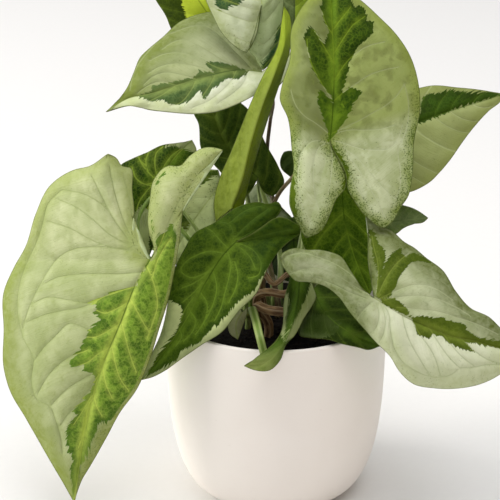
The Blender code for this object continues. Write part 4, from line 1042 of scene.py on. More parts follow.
def depth_inside(points, outlines):
    """How many mm each point lies inside the nearest island; below zero outside them."""
    depth = np.full(len(points), -FARTHEST_ISLAND)
    for outline in outlines:
        closed = np.array([*outline, outline[0]], float)
        (x0, y0), (x1, y1) = closed[:-1].T, closed[1:].T
        x, y = points[:, :1], points[:, 1:2]
        rise = np.where(y1 == y0, 1.0, y1 - y0)
        crosses = ((y0 > y) != (y1 > y)) & (x < x0 + (y - y0) * (x1 - x0) / rise)
        inside = crosses.sum(1) % 2 == 1
        depth = np.maximum(depth, np.where(inside, 1.0, -1.0) * distance_to(points, closed))
    return np.clip(depth, -FARTHEST_ISLAND, FARTHEST_ISLAND)


square = [(0, 0), (10, 0), (10, 10), (0, 10)]
print("middle of a 10 mm square is inside by", depth_inside(np.array([[5.0, 5.0]]), [square])[0])

# %% [markdown]
# ## Relief
#
# The veins of an arrowhead leaf lie in shallow furrows and the tissue between them bulges like a
# quilt. The finish could fake that with bump, but a raking light and the leaf's own outline show
# real relief, so it is put into the mesh: the sheet rises with the distance from the nearest vein
# and levels off a few mm away. The margin waves gently.

# %% Press the veins into a sheet
FURROW_WIDTH = 0.8
QUILT_WIDTH = 2.6
QUILT_HEIGHT = 1.7
RIB_FURROW = 1.3
CALM_MARGIN = 3.5
MARGIN_WAVE = 0.5


def soft_step(low, high, value):
    t = np.clip((value - low) / (high - low), 0.0, 1.0)
    return t * t * (3.0 - 2.0 * t)


def relief(phase, off_vein, margin, rib, depth):
    """Height in mm that veins, quilting and the wavy margin add to a smooth sheet."""
    inner = soft_step(0.0, CALM_MARGIN, margin)
    quilt = QUILT_HEIGHT * (1.0 - np.exp(-np.minimum(off_vein, 2.0 * rib) / QUILT_WIDTH))
    furrow = 0.5 * np.exp(-(off_vein / FURROW_WIDTH)**2) + 1.2 * np.exp(-(rib / RIB_FURROW)**2)
    wave = np.sin(math.pi * phase + 0.7) * soft_step(2.0 * CALM_MARGIN, 0.0, margin)
    return depth * inner * (quilt - furrow) + MARGIN_WAVE * wave * min(1.0, depth * 2.0)


print("rise between veins:", relief(0.5, np.array([0.0, 5.0]), 20.0, np.array([20.0, 20.0]), 0.5).round(2))

# %% [markdown]
# ## Weld the strips into one thin solid
#
# Neighbouring strips share their points along the veins, so equal points are merged and a row that
# ends in a point becomes triangles. Each strip is turned so that its upper side looks the way
# that the blade does.

# %% Weld and turn the strips
WELD = 1000.0


def weld(points, growth, quads):
    """Merge equal points, and drop the corners that fall together."""
    _, first, merged = np.unique(np.round(points * WELD).astype(np.int64), axis=0,
                                 return_index=True, return_inverse=True)
    merged = merged.reshape(-1)
    faces = []
    for face in merged[quads]:
        corners = [int(c) for n, c in enumerate(face) if c != face[n - 1]]
        if len(corners) > 2:
            faces.append(corners)
    return points[first], growth[first], faces


def towards_viewer(points, quads, faces_away):
    """Turn the strip's faces so that the leaf's upper side looks at the viewer, or away."""
    corners = points[quads][..., :2]
    area = np.cross(corners[:, 1] - corners[:, 0], corners[:, 2] - corners[:, 0]).sum()
    return quads if (area > 0.0) != faces_away else quads[:, ::-1]


print("points closer than", 1.0 / WELD, "mm are welded")

# %% [markdown]
# ## A blade as an object
#
# `blade_mesh` joins the two halves, presses the veins in and writes down the numbers that the
# finish reads. `finish_piece` gives any fine piece its materials, its place on the plant's one
# body and the packed node that it stands for. A Solidify modifier gives a blade the half
# millimetre of a real leaf, with its own material for the underside and for the cut edge.

# %% One blade as an object
LEAF_THICKNESS = 0.5
UNDERSIDE, CUT_EDGE = 1, 2


def write_numbers(mesh, numbers):
    """Let the mesh carry one named number at each of its points."""
    for title, values in numbers.items():
        mesh.attributes.new(title, "FLOAT", "POINT").data.foreach_set("value", values.astype(np.float32))


def blade_mesh(name, leaf, look):
    """The fine sheet of a blade, with the numbers that its finish reads at every point."""
    parts, outline = [], []
    for side in ("west", "east"):
        sheets, edge = half_blade(leaf["rib"], leaf[side], leaf["belly"], look["veins"])
        outline.append(edge)
        for points, growth, quads in sheets:
            growth = np.column_stack([growth, np.full(len(points), side == "east", float)])
            parts.append((points, growth, towards_viewer(points, quads, leaf["faces_away"])))
    starts = np.cumsum([0] + [len(points) for points, _, _ in parts[:-1]])
    points, growth, faces = weld(np.vstack([p for p, _, _ in parts]), np.vstack([g for _, g, _ in parts]),
                                 np.vstack([quads + start for (_, _, quads), start in zip(parts, starts)]))
    flat = points[:, :2]
    rib_line = smooth(np.array(leaf["rib"], float)[:, :2], np.linspace(0.0, 1.0, 60))
    margin = np.minimum(*[distance_to(flat, edge[::2]) for edge in outline])
    rib = distance_to(flat, rib_line)
    spacing = path_length(rib_line) / look["veins"]
    phase, down, east = growth.T
    side_of_vein = off_veins(flat, phase, spacing, DRAWN_VEINS.get(name))
    lift = relief(phase, np.abs(side_of_vein), margin, rib, look["relief"])
    points[:, 2] += -lift if leaf["faces_away"] else lift
    mesh = bpy.data.meshes.new(name)
    mesh.from_pydata(place(points) * MM, [], faces)
    numbers = {"vein_phase": phase, "down": down, "east": east, "margin_mm": margin, "rib_mm": rib,
               "vein_side_mm": side_of_vein, "vein_off_mm": np.abs(side_of_vein),
               "island_mm": depth_inside(flat, ISLANDS.get(name, []))}
    write_numbers(mesh, numbers)
    return mesh


def finish_piece(name, mesh, materials, node):
    """Make the object, ride it on the plant's one body and let it stand for its packed node."""
    for material in materials:
        mesh.materials.append(material)
    mesh.shade_smooth()
    piece = bpy.data.objects.new(name, mesh)
    bpy.context.scene.collection.objects.link(piece)
    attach(piece, "root")
    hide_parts(node)
    return piece


def build_blade(node, leaf, look, materials):
    """A blade's sheet, thickened to the half millimetre of a leaf."""
    mesh = blade_mesh(node, leaf, look)
    piece = finish_piece(node.replace("leaf", "blade"), mesh, materials, node)
    solid = piece.modifiers.new("thickness", "SOLIDIFY")
    solid.thickness = LEAF_THICKNESS * MM
    solid.offset = 0.0
    solid.material_offset = UNDERSIDE
    solid.material_offset_rim = CUT_EDGE
    return piece


print("leaf thickness:", LEAF_THICKNESS, "mm")

# %% [markdown]
# ## The finish of a blade's upper side
#
# A living leaf is satin: a soft weak shine from its skin, broken by the fine grain of its cells.
# Colour comes in layers, and all of them read the same distances and the same few noises, so a
# kind of finish is made that holds these. It also knows that one half, the tip, the part near the
# knot or the lobes of a blade can have tones of their own.

# %% What the layers of a blade share
SATIN = 0.07
CLOUD_MM, DRIFT_MM, MOTTLE_MM, GRAIN_MM = 17.0, 7.0, 3.0, 0.75
FRAY_STREAKS, FIBRE_STREAKS = 7.0, 26.0
NET_CELLS = 560.0
HALO_MM = 2.6


def vein_line(finish, width):
    """1 on the veins: the signed distance keeps it sharp, the other one drops false zeros."""
    on_vein = 1.0 - abs(finish.read("vein_side_mm")).clear_of(0.3 * width, width)
    return on_vein * (1.0 - finish.read("vein_off_mm").clear_of(0.6, 1.0))


class BladeFinish(Finish):
    """A finish that reads the blade's distances, and its tones from place to place."""

    def __init__(self, name, look):
        super().__init__(name, Specular_IOR_Level=SATIN)
        self.look = look
        at = self.here()
        self.margin, self.rib, self.down = map(self.read, ("margin_mm", "rib_mm", "down"))
        self.island = self.read("island_mm") * (1.0 if look["ground"] == "pale" else -1.0)
        phase = self.read("vein_phase")
        self.cloud = self.noise(at, CLOUD_MM, 2.0)
        self.drift = self.noise(at, DRIFT_MM, 2.0, 0.4)
        self.mottle = self.noise(at, MOTTLE_MM, 3.0, 0.6)
        self.grain = self.noise(at, GRAIN_MM, 2.0)
        self.fray = self.streaks(phase * FRAY_STREAKS + 2.0 * self.cloud, 3.0)
        self.fibre = self.streaks(phase * FIBRE_STREAKS + 5.0 * self.drift, 2.0).clear_of(0.38, 0.66)
        self.vein = vein_line(self, 0.5)
        self.halo = 1.0 - self.read("vein_off_mm").clear_of(0.3, HALO_MM)
        self.crease = 1.0 - self.rib.clear_of(0.15, 0.5)
        cells = self.add("ShaderNodeTexVoronoi", {"Vector": at, "Scale": NET_CELLS},
                         feature="DISTANCE_TO_EDGE")
        self.net = 1.0 - cells.clear_of(0.02, 0.16)
        east = self.read("east").clear_of(0.3, 0.7)
        # on some blades the tones of these places are painted light and painted shade
        self.places = {"low": self.down.clear_of(0.5, 0.85), "west": 1.0 - east,
                       "lobe": self.down.clear_of(0.94, 1.12), "east": east,
                       "tip": 1.0 - self.down.clear_of(0.08, 0.45)}

    def tone_of(self, layer):
        """The layer's colour, which the places of the blade may change one after another."""
        colour = tone(self.look[layer])
        for place_name, share in self.places.items():
            if layer in self.look.get(place_name, {}):
                colour = self.mix(share, colour, tone(self.look[place_name][layer]))
        return colour

    def amount(self, layer):
        """The same for a layer's number."""
        value = self.look[layer]
        for place_name, share in self.places.items():
            if layer in self.look.get(place_name, {}):
                value = value + share * (self.look[place_name][layer] - self.look[layer])
        return value


print("noises of a blade, mm:", CLOUD_MM, DRIFT_MM, MOTTLE_MM, GRAIN_MM)

# %% [markdown]
# ## Pale tissue
#
# Pale tissue is cream or grey-green. From below to above: a light and a shaded tone, darker
# clouds, a greener margin, a breath of fibres along the veins, fine lines on the veins, the crease
# of the midrib, and green dots that thicken towards the margin.

# %% Pale tissue, layer by layer
SPECKLE_REACH = 9.0


def pale_tissue(skin):
    pale = skin.mix(skin.cloud.clear_of(0.36, 0.66), skin.tone_of("pale"), skin.tone_of("shade"))
    pale = skin.mix(skin.amount("clouds") * skin.drift.clear_of(0.42, 0.66), pale, skin.tone_of("cloud"))
    band = skin.amount("band")
    greener = (1.0 - skin.margin.clear_of(0.1 * band, band)) * (0.3 + 0.9 * skin.mottle)
    pale = skin.mix(greener, pale, skin.tone_of("edge"))
    blots = 0.22 * skin.mottle.clear_of(0.52, 0.75) + 0.12 * skin.fibre
    pale = skin.mix(blots, pale, skin.tone_of("edge"))
    pale = skin.mix(skin.look["show"] * skin.vein + 0.06 * skin.halo, pale, skin.tone_of("line"))
    pale = skin.mix(0.5 * skin.crease, pale, skin.tone_of("glow"))
    speckle = skin.amount("speckle")
    strewn = skin.down.clear_of(skin.look["speckle_from"] - 0.1, skin.look["speckle_from"] + 0.15)
    strewn = strewn * (1.0 - skin.margin.clear_of(1.0, SPECKLE_REACH)) * speckle
    dots = (skin.grain + 0.30 * strewn + 0.25 * (skin.drift - 0.5)).clear_of(0.68, 0.76)
    return skin.mix(dots * (0.25 + 0.8 * speckle), pale, skin.tone_of("dots"))


print("speckles reach", SPECKLE_REACH, "mm in from the margin")

# %% [markdown]
# ## Green tissue
#
# Green tissue is mottled, glows beside the midrib, has a fine net of lighter veinlets, and grows
# darker towards the border of its island. The veins are lime lines on it, and the midrib is a lime
# line near the tip that darkens towards the knot.

# %% Green tissue, layer by layer
GLOW_MM = 4.5
BORDER_MM = 4.5


def green_tissue(skin):
    tissue = 0.6 * skin.mottle + 0.4 * skin.cloud
    green = skin.mix(tissue.clear_of(0.36, 0.62), skin.tone_of("dark"), skin.tone_of("mid"))
    beside_rib = 1.0 - skin.rib.clear_of(0.5, GLOW_MM)
    green = skin.mix(0.75 * beside_rib * (0.5 + skin.mottle), green, skin.tone_of("glow"))
    lighter = (0.34 * skin.halo + 0.20 * skin.net) * (0.3 + skin.mottle)
    green = skin.mix(lighter, green, skin.tone_of("vein"))
    green = skin.mix(0.55 * (1.0 - skin.island.clear_of(0.5, BORDER_MM)), green, skin.tone_of("dark"))
    green = skin.mix(1.2 * skin.look["show"] * skin.vein, green, skin.tone_of("vein"))
    rib_tone = skin.mix(skin.down.clear_of(0.45, 0.75), skin.tone_of("vein"), skin.tone_of("dark"))
    return skin.mix(0.6 * skin.crease, green, rib_tone)


print("the glow beside a midrib is", GLOW_MM, "mm wide")

# %% [markdown]
# ## Both tissues on one skin
#
# The island number chooses between the two tissues, frayed by noise and by streaks that run with
# the side veins. The blade ends in a thin brown-green line, and its bump follows the mottle, the
# grain, the fibres, the veins and the net.

# %% Upper side of a blade
MARGIN_LINE = "55612A"
SKIN_RELIEF = 0.22


def blade_finish(name, look):
    skin = BladeFinish(name, look)
    pale, green = pale_tissue(skin), green_tissue(skin)
    frayed = skin.island + (skin.fray - 0.5) * look["fray"]
    frayed = frayed + (skin.mottle - 0.5) * 1.6 + (skin.grain - 0.5) * 0.7
    rim = skin.amount("rim")
    shown = frayed.clear_of(-0.22, 0.22) * skin.margin.clear_of(rim, rim + 0.4)
    colour = skin.mix(shown, pale, green)
    line = 1.0 - skin.margin.clear_of(0.12, 0.42)
    colour = skin.mix(0.75 * line, colour, tone(MARGIN_LINE))
    height = 0.5 * skin.mottle + 0.25 * skin.grain + 0.25 * skin.fibre - 0.5 * skin.vein - 0.15 * skin.net
    return skin.paint(colour, 0.5 + 0.16 * skin.mottle + 0.04 * skin.grain, height, SKIN_RELIEF)


print("a blade's finish reads", len(PALE_LEAF), "values of its look")

# %% [markdown]
# ## Underside and cut edge
#
# The underside is paler and duller, its veins stand proud, and the islands show through it
# weakly. The cut edge is only half a millimetre wide, but it catches the light as a thin line
# that is brown-green on the real plant.

# %% Underside of a blade, and its edge
def underside_finish(name, look):
    finish = Finish(name, Specular_IOR_Level=0.2)
    island = finish.read("island_mm")
    mottle = finish.noise(finish.here(), 4.0, 3.0)
    vein = vein_line(finish, 0.8)
    rib = 1.0 - finish.read("rib_mm").clear_of(0.5, 1.6)
    colour = finish.mix(mottle.clear_of(0.3, 0.7), tone(look["under"]), tone(look["shade"]))
    through = island * (1.0 if look["ground"] == "pale" else -1.0)
    colour = finish.mix(0.45 * through.clear_of(-0.8, 0.8), colour, tone(look["mid"]))
    colour = finish.mix(0.5 * vein + 0.5 * rib, colour, tone("BCCB95"))
    return finish.paint(colour, 0.55 + 0.1 * mottle, 0.4 * mottle + vein + rib, 0.4)


def edge_finish():
    finish = Finish("leaf_edge", Specular_IOR_Level=0.2)
    grain = finish.noise(finish.here(), 2.0)
    colour = finish.mix(grain, tone("66742E"), tone("4A5622"))
    return finish.paint(colour, 0.5 + 0.1 * grain, grain, 0.05)


print("underside and edge finishes ready")

# %% [markdown]
# ## Build the blades
#
# Every blade gets its sheet, its own upper side and underside, and the shared edge.

# %% All the blades
EDGE = edge_finish()
for node, leaf in LEAVES.items():
    look = LOOKS[node]
    surfaces = [blade_finish(node.replace("leaf", "upper"), look),
                underside_finish(node.replace("leaf", "under"), look), EDGE]
    piece = build_blade(node, leaf, look, surfaces)
    print(piece.name, len(piece.data.polygons), "faces")

# %% [markdown]
# ## Stalks
#
# Each blade hangs on a round stalk that leaves the soil near the middle of the pot. For each stalk
# the table gives its foot on the soil, the points on the sketch plane that it passes, and how far
# behind the blade it comes to the knot, all in mm.

# %% Routes of the stalks
STALKS = {
    "leaf_front_left": ((-12, -4), [(-20, 18, 22), (-38, 28, 27), (-52, 44, 38), (-61, 55, 42),
                                    (-67, 48, 42), (-69, 36, 42)], 4),
    "leaf_front_middle": ((-8, -8), [(-11, 12, 12), (-16, 24, 18)], 7),
    "leaf_over_rim": ((13, -16), [(14, 2, 20), (13, 10, 27)], 4),
    "leaf_front_right": ((17, -8), [(24, 2, 18), (38, 6, 32)], 8),
    "leaf_hanging_green": ((14, -1), [(19, 20, 2), (28, 48, 8)], 6),
    "leaf_upright": ((1, -5), [(-3, 20, 6), (-4, 40, 14), (2, 57, 24), (8, 64, 28), (18, 76, 33)], 7),
    "leaf_young_rolled": ((-4, -1), [(-8, 12, 8), (-14, 28, 16), (-19, 40, 19)], 4),
    "leaf_upper_left": ((-7, 8), [(-5, 24, -12), (-1.5, 48, -14), (-4.5, 76, -11), (-2.8, 93, -2),
                                  (-1.5, 103, 7)], 5),
    "leaf_top_centre": ((2, 12), [(2, 25, -19), (-4, 48, -21), (-10, 70, -19), (-9, 90, -14), (-5, 106, -5),
                                  (1.5, 118, 3), (1.5, 132, 7), (0, 143, 14)], 7),
    "leaf_top_left": ((-8, 13), [(-10, 30, -16), (-18, 70, -20), (-27, 110, -18)], 8),
    "leaf_top_back": ((8, 12), [(12, 30, -16), (20, 70, -22), (19, 105, -18)], 8),
    "leaf_right": ((15, 7), [(19, 30, -6), (34, 64, 0)], 8),
    "leaf_small_right": ((19, 1), [(32, 20, -2), (46, 34, 2)], 5),
    "leaf_small_back": ((10, 3), [(13, 25, -8), (14, 50, -13)], 4),
    "leaf_back_dark": ((-1, 2), [(-3, 20, -6), (-7, 45, -10)], 5),
    "leaf_left_small": ((-15, 3), [(-20, 12, 12), (-34, 30, 20), (-47, 48, 22)], 4),
    "leaf_left_grey": ((-10, 6), [(-14, 20, 2), (-24, 42, 7)], 5),
    "leaf_on_rim": ((17, -13), [(17, 0, 16)], 5),
    "leaf_low_left": ((-14, -13), [], 3),
    "leaf_behind_crown": ((8, 24), [(8, 10, -30), (8, 28, -37)], 6),
    "leaf_back_low": ((20, 34), [(19, 20, -37)], 3),
    "leaf_back_right": ((20, 16), [(33, 30, -18), (36, 70, -20)], 4),
    "leaf_back_left": ((-16, 12), [(-32, 18, -14), (-58, 28, -18)], 4),
}
print("stalks drawn:", len(STALKS))

# %% [markdown]
# ## From the soil to the knot
#
# The foot goes a little way into the soil, as a planted stalk does, and rises straight at first.
# The other end comes from behind the blade and meets its underside at the knot.

# %% The line of each stalk
STALK_RADII = (1.7, 1.3, 1.1, 0.9)
STALK_END = 0.55
STALK_RISE = 6.0
STALK_DROP = 0.6
FOOT_DEPTH = 1.5
SOIL_LEVEL = 87.0
MOUND_HEIGHT = 6.0
MOUND_RADIUS = 22.0


def soil_height(x, y):
    """Height of the soil in mm: level at the wall, heaped round the crown of stems."""
    spread = (x * x + y * y) / (MOUND_RADIUS * MOUND_RADIUS)
    return SOIL_LEVEL + MOUND_HEIGHT * np.exp(-spread)


def under_side(leaf):
    """Direction square to the blade at its knot, on the side where the stalk joins."""
    knot, beside, east, west = place([leaf["rib"][-1], leaf["rib"][-2], leaf["east"]["lobe"],
                                      leaf["west"]["lobe"]])
    square = np.cross(beside - knot, east - west)
    square /= np.linalg.norm(square)
    away = NEAR if leaf["faces_away"] else -NEAR
    return square if square @ away > 0.0 else -square


def rise_from_soil(x, y):
    """First two points of anything that grows up out of the soil at (x, y)."""
    ground = soil_height(x, y)
    return [np.array([x, y, ground - FOOT_DEPTH]), np.array([x, y, ground + STALK_RISE])]


def stalk_route(leaf, stalk):
    """Points in mm from the soil to the underside of the knot."""
    foot, via, back = stalk
    square = under_side(leaf)
    fold = 0.5 * abs(leaf["west"]["slope"] + leaf["east"]["slope"])
    knot = place(leaf["rib"][-1])[0]
    seat = knot + square * (0.5 * LEAF_THICKNESS + fold * STALK_END)
    from_below = bool(via) and via[-1][1] < leaf["rib"][-1][1]
    sink = STALK_DROP * back if from_below else 0.0
    led = [place(point)[0] for point in via]
    return [*rise_from_soil(*foot), *led, seat + square * back - UP * sink, seat]


routes = {leaf: stalk_route(LEAVES[leaf], stalk) for leaf, stalk in STALKS.items()}
print("longest stalk:", max(round(path_length(route)) for route in routes.values()), "mm")

# %% [markdown]
# ## A ring swept along a route
#
# A stalk is a smooth line with a ring of points swept along it. The same tube serves for roots and
# the sheath: its ring can be flattened like a strap or ridged like a root. Each point of the mesh
# knows where it is along and round the tube, so the finish can draw fibres that follow it. The
# first ring's direction is found once, and each later one is only turned as far as the route
# bends, so the fibres stay straight.

# %% Sweep a ring along a route
TUBE_STEP = 1.3
TUBE_SIDES = 16
FEWEST_STEPS = 12
NEARLY_PARALLEL = 0.2
FIBRE_STRETCH = 0.12


def ring_faces(corner):
    """Quads between rows of points that each close into a ring."""
    after = np.roll(corner, -1, axis=1)
    return np.stack([corner[:-1], after[:-1], after[1:], corner[1:]], -1).reshape(-1, 4).tolist()


def swept_rings(route, radii, flatten, ribs, rib_depth):
    """Rings of points round a smooth line; `ribs` ridges of `rib_depth` run along it."""
    length = path_length(route)
    steps = max(FEWEST_STEPS, math.ceil(length / TUBE_STEP))
    shares = np.linspace(0.0, 1.0, steps + 1)
    centres = smooth(route, shares)
    widths = np.interp(shares, np.linspace(0.0, 1.0, len(radii)), radii)
    ahead = np.gradient(centres, axis=0)
    ahead /= np.linalg.norm(ahead, axis=1)[:, None]
    across = np.cross(ahead[0], NEAR)
    across = across if np.linalg.norm(across) > NEARLY_PARALLEL else np.cross(ahead[0], SIDE)
    angles = np.linspace(0.0, 2.0 * math.pi, TUBE_SIDES, endpoint=False)
    swell = 1.0 + rib_depth * np.cos(ribs * angles)
    rings = []
    for centre, forward, width in zip(centres, ahead, widths):
        across = across - forward * (across @ forward)
        across /= np.linalg.norm(across)
        over = np.cross(forward, across)
        ring = np.cos(angles)[:, None] * across + flatten * np.sin(angles)[:, None] * over
        rings.append(centre + width * swell[:, None] * ring)
    return np.array(rings), shares, angles, length


def tube_mesh(name, route, radii, flatten=1.0, ribs=0, rib_depth=0.0):
    """A closed tube, with numbers along and round it for its finish."""
    rings, shares, angles, length = swept_rings(route, radii, flatten, ribs, rib_depth)
    count = len(rings)
    corner = np.arange(count * TUBE_SIDES).reshape(count, TUBE_SIDES)
    faces = ring_faces(corner) + [corner[0][::-1].tolist(), corner[-1].tolist()]
    mesh = bpy.data.meshes.new(name)
    mesh.from_pydata(rings.reshape(-1, 3) * MM, [], faces)
    along = np.repeat(shares, TUBE_SIDES)
    round_it = np.tile(angles, count)
    fibre = np.column_stack([np.cos(round_it), np.sin(round_it), along * length * FIBRE_STRETCH])
    numbers = {"along": along, "across": np.cos(round_it), "ridge": np.cos(ribs * round_it)}
    write_numbers(mesh, numbers)
    told = mesh.attributes.new("fibre", "FLOAT_VECTOR", "POINT")
    told.data.foreach_set("vector", fibre.astype(np.float32).ravel())
    return mesh


print("points round a stalk:", TUBE_SIDES)

# %% [markdown]
# ## The finish of the stalks
#
# Most stalks are pale olive green and a little darker at the foot.
# Two of the older ones have turned brown-purple, as the photograph shows. Fibres run lengthwise,
# so the noise is read in coordinates that are squeezed along the stalk.

# %% Build the stalks
STALK_TONES = {
    "leaf_front_left": ("6F8F32", "7FA03C", "5E7C2A"),
    "leaf_upper_left": ("4A2E24", "3E241D", "5C4030"),
    "leaf_upright": ("5F4A33", "6B553A", "8A7A4E"),
    "leaf_front_middle": ("6E8438", "7C9440", "64802C"),
    "leaf_right": ("93A06A", "7E8C52", "6C7D40"),
    "leaf_top_left": ("6C7C36", "5D6E2C", "5A6C28"),
}
PLAIN_STALK = ("7D8F4A", "8B9E52", "74883F")
STALK_FIBRE = 700.0


def stalk_finish(name, foot, middle, top):
    finish = Finish(name, Specular_IOR_Level=0.4)
    along = finish.read("along")
    fibre = finish.noise(finish.read("fibre", out="Vector"), STALK_FIBRE, 3.0)
    blot = finish.noise(finish.here(), 5.0, 2.0)
    colour = finish.mix(along.clear_of(0.1, 0.5), tone(foot), tone(middle))
    colour = finish.mix(along.clear_of(0.6, 1.0), colour, tone(top))
    colour = finish.mix(0.35 * fibre.clear_of(0.45, 0.7), colour, tone("C2C690"))
    colour = finish.mix(0.35 * blot.clear_of(0.5, 0.7), colour, tone("4A5A24"))
    return finish.paint(colour, 0.42 + 0.15 * blot, fibre, 0.25)


for leaf, route in routes.items():
    node = leaf.replace("leaf", "stalk")
    material = stalk_finish(node.replace("stalk", "skin"), *STALK_TONES.get(leaf, PLAIN_STALK))
    mesh = tube_mesh(node, route, (*STALK_RADII, STALK_END))
    finish_piece(node.replace("stalk", "petiole"), mesh, [material], node)
print("stalks:", len(routes))

# %% [markdown]
# ## Aerial roots and the leaf sheath
#
# Tan roots loop round the crown just above the soil, with pale ridges along them. A spent leaf
# sheath, flat like a strap, leans out over the rim; a greener stripe runs down its middle. Both
# are swept like the stalks, the roots with ridges and the sheath with a flattened ring.

# %% Build the roots and the sheath
ROOTS = {
    "aerial_root_high": ((-5, -14), [(-7, 8, 18), (-6, 16, 22), (-1, 11, 27), (6, 16, 24), (9, 12, 16)],
                         (7, -11), 1.3),
    "aerial_root_middle": ((-9, -17), [(-9, 5, 22), (-3, 7, 28), (3, 6, 29), (8, 7, 25)], (9, -15), 1.9),
    "aerial_root_low": ((-4, -21), [(-9, 0, 26), (-4, -2, 31), (3, -3, 31), (8, -3, 26)], (6, -20), 2.2),
}
STRAP_FOOT = (-9, -23)
STRAP_VIA = [(-12, -1, 33), (-10, -8, 45), (-8, -16, 54), (-6, -24, 53)]
STRAP_RADII = (1.5, 2.0, 2.0, 1.9)
STRAP_FLATTEN = 0.45
ROOT_RIDGES = 5
ROOT_RIDGE_DEPTH = 0.10
ROOT_FIBRE, SHEATH_FIBRE = 500.0, 400.0


def root_finish():
    finish = Finish("root_skin", Specular_IOR_Level=0.25)
    fibre = finish.noise(finish.read("fibre", out="Vector"), ROOT_FIBRE, 4.0)
    ridge = finish.read("ridge").clear_of(0.2, 0.9)
    colour = finish.mix(fibre.clear_of(0.35, 0.65), tone("5C4229"), tone("937650"))
    colour = finish.mix(0.6 * ridge, colour, tone("C2AC88"))
    return finish.paint(colour, 0.6 + 0.15 * fibre, fibre + 0.4 * ridge, 0.5)


def sheath_finish():
    finish = Finish("sheath_skin", Specular_IOR_Level=0.4)
    across = abs(finish.read("across"))
    fibre = finish.noise(finish.read("fibre", out="Vector"), SHEATH_FIBRE, 3.0)
    colour = finish.mix(across.clear_of(0.15, 0.6), tone("5F7A24"), tone("93A35E"))
    colour = finish.mix(across.clear_of(0.85, 0.99), colour, tone("6F8438"))
    colour = finish.mix(0.4 * fibre.clear_of(0.45, 0.7), colour, tone("75893F"))
    return finish.paint(colour, 0.45 + 0.1 * fibre, fibre, 0.3)


ROOT_SKIN = root_finish()
for node, (first, via, last, radius) in ROOTS.items():
    led = [place(point)[0] for point in via]
    route = [*rise_from_soil(*first), *led, *reversed(rise_from_soil(*last))]
    mesh = tube_mesh(node, route, (radius,), ribs=ROOT_RIDGES, rib_depth=ROOT_RIDGE_DEPTH)
    finish_piece(node + "_bark", mesh, [ROOT_SKIN], node)
led = [place(point)[0] for point in STRAP_VIA]
mesh = tube_mesh("sheath", [*rise_from_soil(*STRAP_FOOT), *led], STRAP_RADII, flatten=STRAP_FLATTEN)
finish_piece("sheath_ribbon", mesh, [sheath_finish()], "sheath_strap")
print("roots:", len(ROOTS), "and one sheath")

# %% [markdown]
# ## The pot
#
# The pot is turned: a profile spun round the axis. A narrow foot swells quickly into a nearly
# straight wall, and the rim is thin and rounded. The packed pot is the same curve with 32 sides;
# the fine one has enough sides and rim points to look round.

# %% A turned shape
FOOT_RADIUS = 33.0
BELLY_POWER = 3.2
BELLY_ROOT = 2.3


def pot_radius(height):
    """Outer radius of the pot at a height in mm: a narrow foot that swells into the wall."""
    t = np.clip(height / POT_HEIGHT, 0.0, 1.0)
    return FOOT_RADIUS + (POT_RADIUS - FOOT_RADIUS) * (1 - (1 - t)**BELLY_POWER)**(1 / BELLY_ROOT)


def arc(centre_radius, centre_height, start, end, radius, steps=6):
    """Points (radius, height) of a round corner in a turned profile."""
    angles = np.radians(np.linspace(start, end, steps + 1))
    return [(centre_radius + radius * math.cos(a), centre_height + radius * math.sin(a)) for a in angles]


def turned_mesh(name, profile, sides):
    """Spin a profile of (radius, height) points; both its ends lie on the axis."""
    profile = np.array(profile, float)
    angles = np.linspace(0.0, 2.0 * math.pi, sides, endpoint=False)
    ring = np.column_stack([np.cos(angles), np.sin(angles)])
    body = [np.column_stack([r * ring, np.full(sides, z)]) for r, z in profile[1:-1]]
    points = np.vstack([[0.0, 0.0, profile[0, 1]], *body, [0.0, 0.0, profile[-1, 1]]])
    corner = 1 + np.arange(len(body) * sides).reshape(len(body), sides)
    after = np.roll(corner, -1, axis=1)
    faces = ring_faces(corner)
    first, last = 0, len(points) - 1
    faces += [(first, b, a) for a, b in zip(corner[0].tolist(), after[0].tolist())]
    faces += [(last, a, b) for a, b in zip(corner[-1].tolist(), after[-1].tolist())]
    mesh = bpy.data.meshes.new(name)
    mesh.from_pydata(points * MM, [], faces)
    return mesh


print("half way up, the pot's radius is", round(float(pot_radius(POT_HEIGHT / 2)), 1), "mm")

# %% [markdown]
# ## The pot's wall and skin
#
# The profile starts in the middle of the foot, runs up the outside, over the rim and down the
# inside to the floor. The skin is matt white ceramic, never perfectly even: faint clouds and a
# fine tooth keep it from looking like plastic.

# %% Turn the pot
WALL = 2.2
FLOOR_THICKNESS = 4.0
FLOOR_COVE = 5.0
RIM_ROUND = 0.95
POT_SIDES = 180
FOOT_CHAMFER = 0.8
CURVED_HEIGHT = 12.0
STRAIGHT_FROM = 14.0
LINING_FOOT = 12.0
LINING_TOP = 3.0


def pot_profile():
    """From the middle of the foot, out and up the wall, over the rim and down the inside."""
    heights = np.concatenate([FOOT_CHAMFER + np.linspace(0.0, 1.0, 14)**2 * CURVED_HEIGHT,
                              np.linspace(STRAIGHT_FROM, POT_HEIGHT - RIM_ROUND, 26)])
    outside = [(pot_radius(h), h) for h in heights]
    rim = arc(POT_RADIUS - RIM_ROUND, POT_HEIGHT - RIM_ROUND, 10, 90, RIM_ROUND)
    rim += arc(POT_RADIUS - WALL + RIM_ROUND, POT_HEIGHT - RIM_ROUND, 90, 180, RIM_ROUND)
    inside = [(pot_radius(h) - WALL, h) for h in np.linspace(POT_HEIGHT - LINING_TOP, LINING_FOOT, 20)]
    base = [(pot_radius(FLOOR_THICKNESS) - WALL - FLOOR_COVE, FLOOR_THICKNESS), (0.0, FLOOR_THICKNESS)]
    return [(0.0, 0.0), (FOOT_RADIUS - FOOT_CHAMFER, 0.0), *outside, *rim, *inside, *base]


